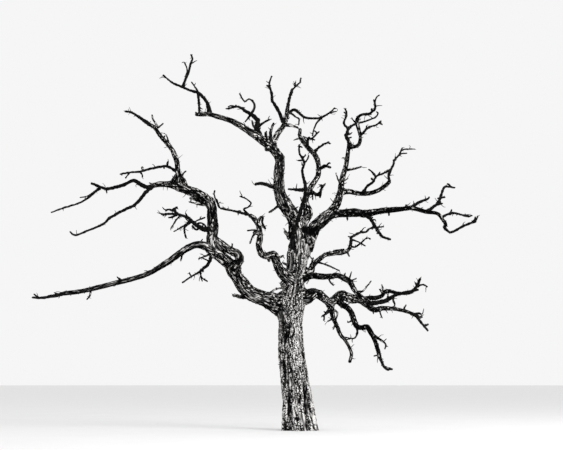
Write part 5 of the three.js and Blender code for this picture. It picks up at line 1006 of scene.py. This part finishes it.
# A closed tube as one surface over angle and length: centre + ring direction * (radius + swell + relief),
# drawn in to a point at the tip over a rounded cap
def tubeShell(tube, seed, around, neighbours=(), isTrunk=False, isMarked=False, shade=0.0):
    ahead, side, other = framesAlong(tube, isTrunk)
    centres, radii, run = tube["centres"], tube["radii"][:, None], tube["run"][:, None]
    angle = np.arange(around) * 2 * math.pi / around
    ways = np.cos(angle)[None, :, None] * side[:, None, :] + np.sin(angle)[None, :, None] * other[:, None, :]
    turned = angle + relief["twist"] * run
    mean = float(radii.mean())
    grain = np.stack([np.cos(turned) * mean, np.sin(turned) * mean, run + 0 * turned], -1)
    grain = grain + seed * relief["seedShift"]
    lump = relief["lumpSize"], trunkForm["lump"] if isTrunk else relief["lumpDepth"]
    if tube["cell"] == cut["twigCell"]:
        lump = relief["twigLumpSize"], relief["twigLumpDepth"]
    out, furrow, bare = barkOn(grain, radii, seed, *lump)
    out = out + radii
    if isTrunk:
        form, inFold = trunkFormAt(angle, centres[:, 2:3], radii)
        out = out + form
        # the folds join the furrow share, which the bark darkens as painted shade in the folds
        furrow = np.clip(furrow + trunkForm["foldShade"] * inFold, 0, 1)
    skin = centres[:, None, :] + ways * radii[..., None]
    if neighbours:
        out = out + joinSwell(skin.reshape(-1, 3), ways.reshape(-1, 3), neighbours).reshape(out.shape)
    bleachAndPaintedLight = paintedLightAndBleachOn(grain, radii, ways, seed, shade, isTrunk)
    # marks add bleaching, painted light and painted shade; their painted shade also fills the furrow share
    if isMarked:
        mark = marksOn(skin, ways)
        out = out - mark["sink"]
        bleachAndPaintedLight = bleachAndPaintedLight + mark["bleachAndShading"]
        bare = np.maximum(bare, mark["bare"]) * (1 - mark["dark"])
        furrow = np.maximum(furrow * (1 - marking["smooths"] * mark["bare"]), mark["dark"])
    capped = np.clip((run[-1] - run) / max(relief["tipLong"] * float(radii[-1, 0]), relief["tipLeast"]), 0, 1)
    out = out * np.sqrt(np.clip(1 - (1 - capped) ** 2, 0.0, 1))
    co = centres[:, None, :] + ways * out[..., None]
    quads, tris = tubeFaces(len(centres) - 1, around)
    return dict(
        co=np.vstack([co[:-1].reshape(-1, 3), centres[0], centres[-1]]), quads=quads, tris=tris,
        furrow=listed(furrow), bare=listed(bare), bleachAndPaintedLight=listed(bleachAndPaintedLight),
        grain=np.vstack([grain[:-1].reshape(-1, 3), grain[0, 0], grain[-1, 0]]),
    )


# How short broken snags stand on a stem: their number per metre, how long and thick they are, how they lean
# forward and up and kink, how they thin, what of them lies inside the limb, and how many are pale
snags = dict(
    perMetre=dict(trunk=4, limb=8, mass=9), smoothShare=0.6,
    smooth=("left_low", "low_limb", "left_arm", "left_arc_s"),
    long=(0.025, 0.17), shortness=3.6, thick=(0.017, 0.03), thickByLength=(0.8, 2.5), least=0.002, sides=4,
    places=(0.0, 0.3, 0.6, 0.85, 1.0), taper=(1.0, 0.85, 0.7, 0.55, 0.4), kink=0.55, kinkSpread=0.5,
    forward=(0.0, 1.1), lift=0.15, withinLimb=0.8, rootAt=0.7, rootLong=0.3,
    nudge=0.01, furrow=0.35, bleachAndPaintedLight=0.3, paleShare=0.25, paleBare=0.6,
)


# How many snags a metre of a piece has, which are fewer on smooth limbs
def snagsPerMetre(name, kind):
    return snags["perMetre"][kind] * (snags["smoothShare"] if name.startswith(snags["smooth"]) else 1)


# All snags on a tube at once, as arrays of snag by ring by corner: from a seeded place on its skin, out and
# partly ahead, with a kink at each ring
def snagShells(tube, perMetre, seed):
    count = int(round(perMetre * tube["run"][-1]))
    if count < 1:
        return []
    s, rng = snags, np.random.default_rng(seed)
    ahead, side, other = framesAlong(tube)
    at = rng.integers(1, len(ahead), count)
    angle = rng.uniform(0, 2 * math.pi, count)[:, None]
    out = np.cos(angle) * side[at] + np.sin(angle) * other[at]
    way = unit(out + ahead[at] * rng.uniform(*s["forward"], count)[:, None] + np.array([0, 0, s["lift"]]))
    low, high = s["long"]
    long = low + (high - low) * rng.random(count) ** s["shortness"]
    radius = rng.uniform(*s["thick"], count) / 2
    radius = radius * (s["thickByLength"][0] + s["thickByLength"][1] * long)
    radius = np.minimum(radius, s["withinLimb"] * tube["radii"][at] + s["least"])
    long = long + s["rootLong"] * tube["radii"][at]
    places = [tube["centres"][at] + out * (tube["radii"][at] * s["rootAt"])[:, None]]
    for step in np.diff(s["places"]):
        places.append(places[-1] + way * (long * step)[:, None])
        way = unit(way + s["kink"] * rng.normal(0, s["kinkSpread"], (count, 3)))
    centres = np.stack(places, 1)
    forward = unit(np.gradient(centres, axis=1))
    rim = unit(np.cross(forward, unit(np.cross(out, ahead[at]))[:, None, :] + s["nudge"]))
    across = np.cross(forward, rim)
    corner = np.arange(s["sides"]) * 2 * math.pi / s["sides"]
    ring = np.cos(corner)[:, None] * rim[:, :, None, :] + np.sin(corner)[:, None] * across[:, :, None, :]
    thin = radius[:, None] * np.array(s["taper"])
    co = (centres[:, :, None, :] + ring * thin[..., None, None]).reshape(count, -1, 3)
    tips = centres[:, -1:] + forward[:, -1:] * thin[:, -1:, None]
    co = np.concatenate([co, centres[:, :1], tips], 1)
    each = co.shape[1]
    quads, tris = tubeFaces(len(s["places"]), s["sides"])
    offset = (np.arange(count) * each)[:, None, None]
    pale = np.repeat((rng.random(count) < s["paleShare"]).astype(float), each)
    return [dict(
        co=co.reshape(-1, 3), quads=(quads + offset).reshape(-1, 4), tris=(tris + offset).reshape(-1, 3),
        furrow=np.full(count * each, s["furrow"]), bare=pale * s["paleBare"],
        bleachAndPaintedLight=np.full(count * each, s["bleachAndPaintedLight"]), grain=co.reshape(-1, 3),
    )]


# One mesh from many shells, with the bark's measures as attributes, and how many triangles it has
def meshFrom(name, shells, materials):
    first = np.cumsum([0] + [len(shell["co"]) for shell in shells])
    co = np.vstack([shell["co"] for shell in shells]).astype(np.float32)
    quads = np.vstack([shell["quads"] + n for shell, n in zip(shells, first)])
    tris = np.vstack([shell["tris"] + n for shell, n in zip(shells, first)])
    starts = np.concatenate([np.arange(len(quads)) * 4, len(quads) * 4 + np.arange(len(tris)) * 3])
    tones = [
        np.full(len(shell[faces]), shell.get("tone", 0)) for faces in ("quads", "tris") for shell in shells
    ]
    mesh = bpy.data.meshes.new(name)
    mesh.vertices.add(len(co))
    mesh.vertices.foreach_set("co", co.ravel())
    mesh.loops.add(4 * len(quads) + 3 * len(tris))
    mesh.loops.foreach_set("vertex_index", np.concatenate([quads.ravel(), tris.ravel()]).astype(np.int32))
    mesh.polygons.add(len(starts))
    mesh.polygons.foreach_set("loop_start", starts.astype(np.int32))
    mesh.polygons.foreach_set("use_smooth", np.ones(len(starts), bool))
    mesh.polygons.foreach_set("material_index", np.concatenate(tones).astype(np.int32))
    for key in ("furrow", "bare", "bleachAndPaintedLight", "grain"):
        values = np.concatenate([shell[key] for shell in shells]).astype(np.float32)
        kind, field = ("FLOAT_VECTOR", "vector") if key == "grain" else ("FLOAT", "value")
        mesh.attributes.new(key, kind, "POINT").data.foreach_set(field, values.ravel())
    mesh.update(calc_edges=True)
    mesh.validate()
    for material in materials:
        mesh.materials.append(material)
    return linked(name, mesh), 2 * len(quads) + len(tris)


# A new object for a mesh, a lamp or a camera, in the scene
def linked(name, data):
    made = bpy.data.objects.new(name, data)
    bpy.context.scene.collection.objects.link(made)
    return made


# Adds a node with its settings, and fills its inputs, by name or number, with values or with other nodes'
# outputs
def addNode(tree, kind, inputs=None, **settings):
    made = tree.nodes.new("ShaderNode" + kind)
    for key, value in settings.items():
        setattr(made, key, value)
    for key, value in (inputs or {}).items():
        if isinstance(value, bpy.types.NodeSocket):
            tree.links.new(value, made.inputs[key])
        else:
            made.inputs[key].default_value = value
    return made


# A grey, with its red raised and its blue lowered by a small share for warmth
def grey(value, warmth=0.0):
    return (value * (1 + warmth), value, value * (1 - warmth), 1)


# The first colour, passing to the second by a share from 0 to 1
def mixColours(tree, share, first, second):
    return addNode(tree, "Mix", {0: share, 6: first, 7: second}, data_type="RGBA").outputs[2]


# One sum, difference, product or power of two values
def mathNode(tree, operation, first, second):
    return addNode(tree, "Math", {0: first, 1: second}, operation=operation).outputs[0]


# A value from one range to another
def rangeNode(tree, value, ends, **settings):
    return addNode(tree, "MapRange", {"Value": value, **ends}, **settings).outputs[0]


# A noise, spread so that low gives 0 and high gives 1
def noiseMask(tree, place, low, high, **inputs):
    noise = addNode(tree, "TexNoise", {"Vector": place, **inputs}).outputs[0]
    return rangeNode(tree, noise, {"From Min": low, "From Max": high})


# A new material with nothing in it yet, and its nodes
def newMaterial(name):
    material = bpy.data.materials.new(name)
    material.use_nodes = True
    material.node_tree.nodes.clear()
    return material, material.node_tree


# Gives a material its surface, which is dull unless the inputs say more
def addSurface(tree, colour, roughness, specular=0.03, **inputs):
    inputs = {"Base Color": colour, "Roughness": roughness, "Specular IOR Level": specular, **inputs}
    addNode(tree, "OutputMaterial", {0: addNode(tree, "BsdfPrincipled", inputs).outputs[0]})


# Weathered bark in one tone from 0 to 1: a mean that rises with bleaching and with painted light on the lit
# side, and falls with painted shade, plus a speckle of plates and streaks along the grain, each less its
# middle times its share. Where the bark is gone, the mean is a little higher and only the streaks show.
# Furrows pull it to nothing, which is painted shade in the furrows, folds, hollows and slits. The colour is
# the palest grey times the tone to a power.
barkLook = dict(
    low=0.34, high=0.66, noiseRough=0.62, furrowShade=0.95, woodLift=0.05, darkest=0.001, warmth=0.02,
    dullest=0.98, smoothest=0.82, bump=0.6, bumpHeight=0.004,
    detail=dict(speckle=2.0, streak=1.5),
)
trunkFinish = dict(
    speckle=42.0, speckleAlong=0.75, speckleShare=2.5, streak=46.0, streakAlong=0.09, streakShare=1.0,
    dimMean=0.45, paleMean=0.585, woodStreak=0.9, palest=0.8, power=2.5,
)
boughFinish = dict(
    speckle=36.0, speckleAlong=0.4, speckleShare=1.6, streak=42.0, streakAlong=0.13, streakShare=1.4,
    dimMean=0.05, paleMean=0.30, woodStreak=1.3, palest=0.85, power=2.7,
)


# Bark by its finish, from the measures that each mesh carries
def barkMaterial(name, finish):
    material, tree = newMaterial(name)
    measures = ("grain", "furrow", "bare", "bleachAndPaintedLight")
    grain, furrow, bare, bleachAndPaintedLight = [
        addNode(tree, "Attribute", attribute_name=measure).outputs for measure in measures
    ]
    masks = []
    for kind, detail in barkLook["detail"].items():
        scale = (1, 1, finish[kind + "Along"])
        place = addNode(tree, "Mapping", {"Vector": grain["Vector"], "Scale": scale}).outputs[0]
        looks = dict(Scale=finish[kind], Detail=detail, Roughness=barkLook["noiseRough"])
        masks.append(noiseMask(tree, place, barkLook["low"], barkLook["high"], **looks))
    speckle, streak = (mathNode(tree, "SUBTRACT", mask, 0.5) for mask in masks)
    ends = {"To Min": finish["dimMean"], "To Max": finish["paleMean"]}
    # the mean follows the bleaching with its painted light and painted shade
    mean = rangeNode(tree, bleachAndPaintedLight["Fac"], ends, clamp=False)
    speckled = mathNode(tree, "MULTIPLY", speckle, finish["speckleShare"])
    spread = mathNode(tree, "ADD", speckled, mathNode(tree, "MULTIPLY", streak, finish["streakShare"]))
    bark = mathNode(tree, "ADD", mean, spread)
    streaked = mathNode(tree, "MULTIPLY", streak, finish["woodStreak"])
    wood = mathNode(tree, "ADD", streaked, mathNode(tree, "ADD", mean, barkLook["woodLift"]))
    skin = addNode(tree, "Mix", {0: bare["Fac"], 2: bark, 3: wood}).outputs[0]
    # furrows, folds, hollows and slits go near black: painted shade
    pulled = mathNode(tree, "MULTIPLY", furrow["Fac"], barkLook["furrowShade"])
    unfurrowed = mathNode(tree, "SUBTRACT", 1.0, pulled)
    tone = addNode(tree, "Clamp", {"Value": mathNode(tree, "MULTIPLY", skin, unfurrowed)}).outputs[0]
    share = mathNode(tree, "POWER", tone, finish["power"])
    colour = mixColours(tree, share, grey(barkLook["darkest"]), grey(finish["palest"], barkLook["warmth"]))
    rough = rangeNode(tree, tone, {"To Min": barkLook["dullest"], "To Max": barkLook["smoothest"]})
    height = mathNode(tree, "ADD", *masks)
    looks = dict(Height=height, Strength=barkLook["bump"], Distance=barkLook["bumpHeight"])
    addSurface(tree, colour, rough, Normal=addNode(tree, "Bump", looks).outputs[0])
    return material


# Dry twigs in three plain tones from their darkest grey to their palest, dealt out twig by twig
twigTones = dict(darkTwig=(0.001, 0.012), greyTwig=(0.002, 0.035), paleTwig=(0.004, 0.11))
twigLook = dict(low=0.38, high=0.62, size=26.0, detail=2.0, warmth=0.02, rough=0.92, dealt=(0.65, 0.25, 0.1))


# A twig's tone, mottled between its two greys
def twigMaterial(name, tones):
    material, tree = newMaterial(name)
    place = addNode(tree, "TexCoord").outputs["Object"]
    looks = dict(Scale=twigLook["size"], Detail=twigLook["detail"])
    share = noiseMask(tree, place, twigLook["low"], twigLook["high"], **looks)
    colour = mixColours(tree, share, grey(tones[0]), grey(tones[1], twigLook["warmth"]))
    addSurface(tree, colour, twigLook["rough"])
    return material


trunkBark = barkMaterial("trunkBark", trunkFinish)
boughBark = barkMaterial("boughBark", boughFinish)
twigFinishes = [twigMaterial(name, tones) for name, tones in twigTones.items()]
print("finishes:", len(bpy.data.materials))


# How far a limb's join with its parent runs up it
def joinReach(name):
    piece = pieces[name]
    return piece["thick"][0] / 2 * join["tip" if goesOn(*piece["root"]) else "side"]


# What a limb runs into: its parent, the limbs that grow from it, and those that leave the same parent
def neighboursOf(name):
    root = pieces[name]["root"]
    found = [(pieces[root[0]]["tubes"][0], joinReach(name))] if root else []
    for other, piece in pieces.items():
        if piece["kind"] != "limb" or other == name:
            continue
        if piece["root"][0] == name:
            found.append((piece["tubes"][0], joinReach(other)))
        elif root and piece["root"][0] == root[0]:
            found.append((piece["tubes"][0], join["sibling"] * min(joinReach(name), joinReach(other))))
    return found


# How many corners a tube has round it: its girth over a cell, and no fewer than the least
def cornersRound(tube, cell, least, swell=1.0):
    return max(least, int(2 * math.pi * tube["radii"].mean() * swell / cell))


# A node's name as one word, with a capital for each word after the first
def camelName(node):
    first, *rest = node.split("_")
    return first + "".join(word.capitalize() for word in rest)


# Joins shells into one piece that rides on the root and stands for its nodes
def setPiece(name, shells, materials, nodes):
    piece, triangles = meshFrom(name, shells, materials)
    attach(piece, "root")
    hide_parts(*nodes)
    return triangles


# How the seeds of a piece, its spurs and their snags are numbered
seedStep = dict(piece=100, spur=10, snag=50)
for name, added in extras.items():
    pieces[name]["tubes"] += [tubeAlong(np.array(bends), thick, cut["twigCell"]) for thick, bends in added]

total = 0
for name, piece in pieces.items():
    if piece["kind"] == "mass":
        continue
    isTrunk = piece["kind"] == "trunk"
    stem, *others = piece["tubes"]
    seed = piece["number"] * seedStep["piece"]
    cell = cut["trunkCell"] if isTrunk else cut["limbCell"]
    around = cornersRound(stem, cell, cut["leastStem"], cut["stemSwell"])
    # painted shade on the darker limbs
    shade = shadedLimbs.get(name, 0.0)
    shells = [tubeShell(stem, seed, around, neighboursOf(name), isTrunk, name in marked, shade)]
    for i, tube in enumerate(others):
        around = cornersRound(tube, cut["spurAround"], cut["leastSpur"])
        shells.append(tubeShell(tube, seed + seedStep["spur"] + i, around))
    for i, tube in enumerate(piece["tubes"]):
        perMetre = snagsPerMetre(name, "mass" if i else piece["kind"])
        shells += snagShells(tube, perMetre, seed + seedStep["snag"] + i)
    material, slotName = (trunkBark, "trunk_bark") if isTrunk else (boughBark, "bough_bark")
    triangles = setPiece(camelName(name) + "Bark", shells, [material], [name])
    total += triangles
    if isTrunk:
        print("trunk:", triangles, "triangles")
print("boughs:", total, "triangles with the trunk")

# The masses of twigs, joined by side: each stem, spur and twig takes one of the three tones
twigGroups = dict(
    leftTwigs=("left_", "low_limb", "hooked_"), topTwigs=("top_", "spire", "inner_", "middle_"),
    rightTwigs=("",),
)
waiting = [name for name in pieces if pieces[name]["kind"] == "mass"]
for groupName, starts in twigGroups.items():
    nodes = [name for name in waiting if name.startswith(starts)]
    waiting = [name for name in waiting if name not in nodes]
    shells = []
    for name in nodes:
        piece = pieces[name]
        rng, seed = np.random.default_rng(piece["number"]), piece["number"] * seedStep["piece"]
        firstExtra = len(piece["tubes"]) - len(extras.get(name, ()))
        for i, tube in enumerate(piece["tubes"]):
            tone = int(rng.choice(len(twigTones), p=twigLook["dealt"]))
            around = cornersRound(tube, cut["massAround"], cut["leastMass"])
            grown = [tubeShell(tube, seed + i, around)]
            grown += snagShells(tube, snagsPerMetre(name, "mass"), seed + seedStep["snag"] + i)
            for shell in grown:
                shell["tone"] = tone if 0 < i < firstExtra else 0
            shells += grown
    triangles = setPiece(groupName, shells, twigFinishes, nodes)
    total += triangles
    print(groupName + ":", len(nodes), "masses,", triangles, "triangles")
print("tree:", total, "triangles")

# A plain pale floor and plain soft light: a bright, even sky, and a wide lamp from the right
studio = dict(
    floorRadius=400.0, floorCorners=96, floorGrey=0.80, floorLift=1.06, floorPatch=0.6, floorDetail=3.0,
    floorRough=0.95, floorGloss=0.1, sky=0.92, skyStrength=1.0, lamp=(16, -16, 16), lampSize=12.0,
    lampPower=4200.0, aim=(-0.8, 0.0, 4.5),
)


# A flat disc, in a pale grey that varies slowly
def addFloor():
    corners = studio["floorCorners"]
    angle = np.arange(corners) * 2 * math.pi / corners
    ring = np.stack([np.cos(angle), np.sin(angle), 0 * angle], 1) * studio["floorRadius"]
    mesh = bpy.data.meshes.new("floor")
    mesh.from_pydata(ring.tolist(), [], [list(range(corners))])
    material, tree = newMaterial("paleFloor")
    place = addNode(tree, "TexCoord").outputs["Object"]
    patch = {"Vector": place, "Scale": studio["floorPatch"], "Detail": studio["floorDetail"]}
    dim, pale = grey(studio["floorGrey"]), grey(studio["floorGrey"] * studio["floorLift"])
    colour = mixColours(tree, addNode(tree, "TexNoise", patch).outputs[0], dim, pale)
    addSurface(tree, colour, studio["floorRough"], studio["floorGloss"])
    mesh.materials.append(material)
    floor = linked("floor", mesh)


# The sky all round, and the lamp turned to its aim
def addLight():
    world = bpy.data.worlds.new("paleSky")
    world.use_nodes = True
    background = world.node_tree.nodes["Background"]
    background.inputs["Color"].default_value = grey(studio["sky"])
    background.inputs["Strength"].default_value = studio["skyStrength"]
    bpy.context.scene.world = world
    data = bpy.data.lights.new("keyLight", "AREA")
    data.size, data.energy = studio["lampSize"], studio["lampPower"]
    lamp = linked("keyLight", data)
    lamp.location = studio["lamp"]
    lamp.rotation_euler = (Vector(studio["aim"]) - Vector(studio["lamp"])).to_track_quat("-Z", "Y").to_euler()
    lamp.visible_camera = False


# The camera in the eye's place, level but for its look up
def addCamera():
    data = bpy.data.cameras.new("eye")
    data.lens, data.sensor_width = eyeView["lens"], eyeView["sensor"]
    data.clip_start, data.clip_end = eyeView["clip"]
    camera = linked("eye", data)
    camera.location = eyeView["place"]
    camera.rotation_euler = (math.pi / 2 + eyeView["lookUp"] + eyeView["trim"], 0, 0)
    bpy.context.scene.camera = camera


addFloor()
addLight()
addCamera()
bpy.context.scene.view_settings.view_transform = "Standard"
print("floor, light and camera set")
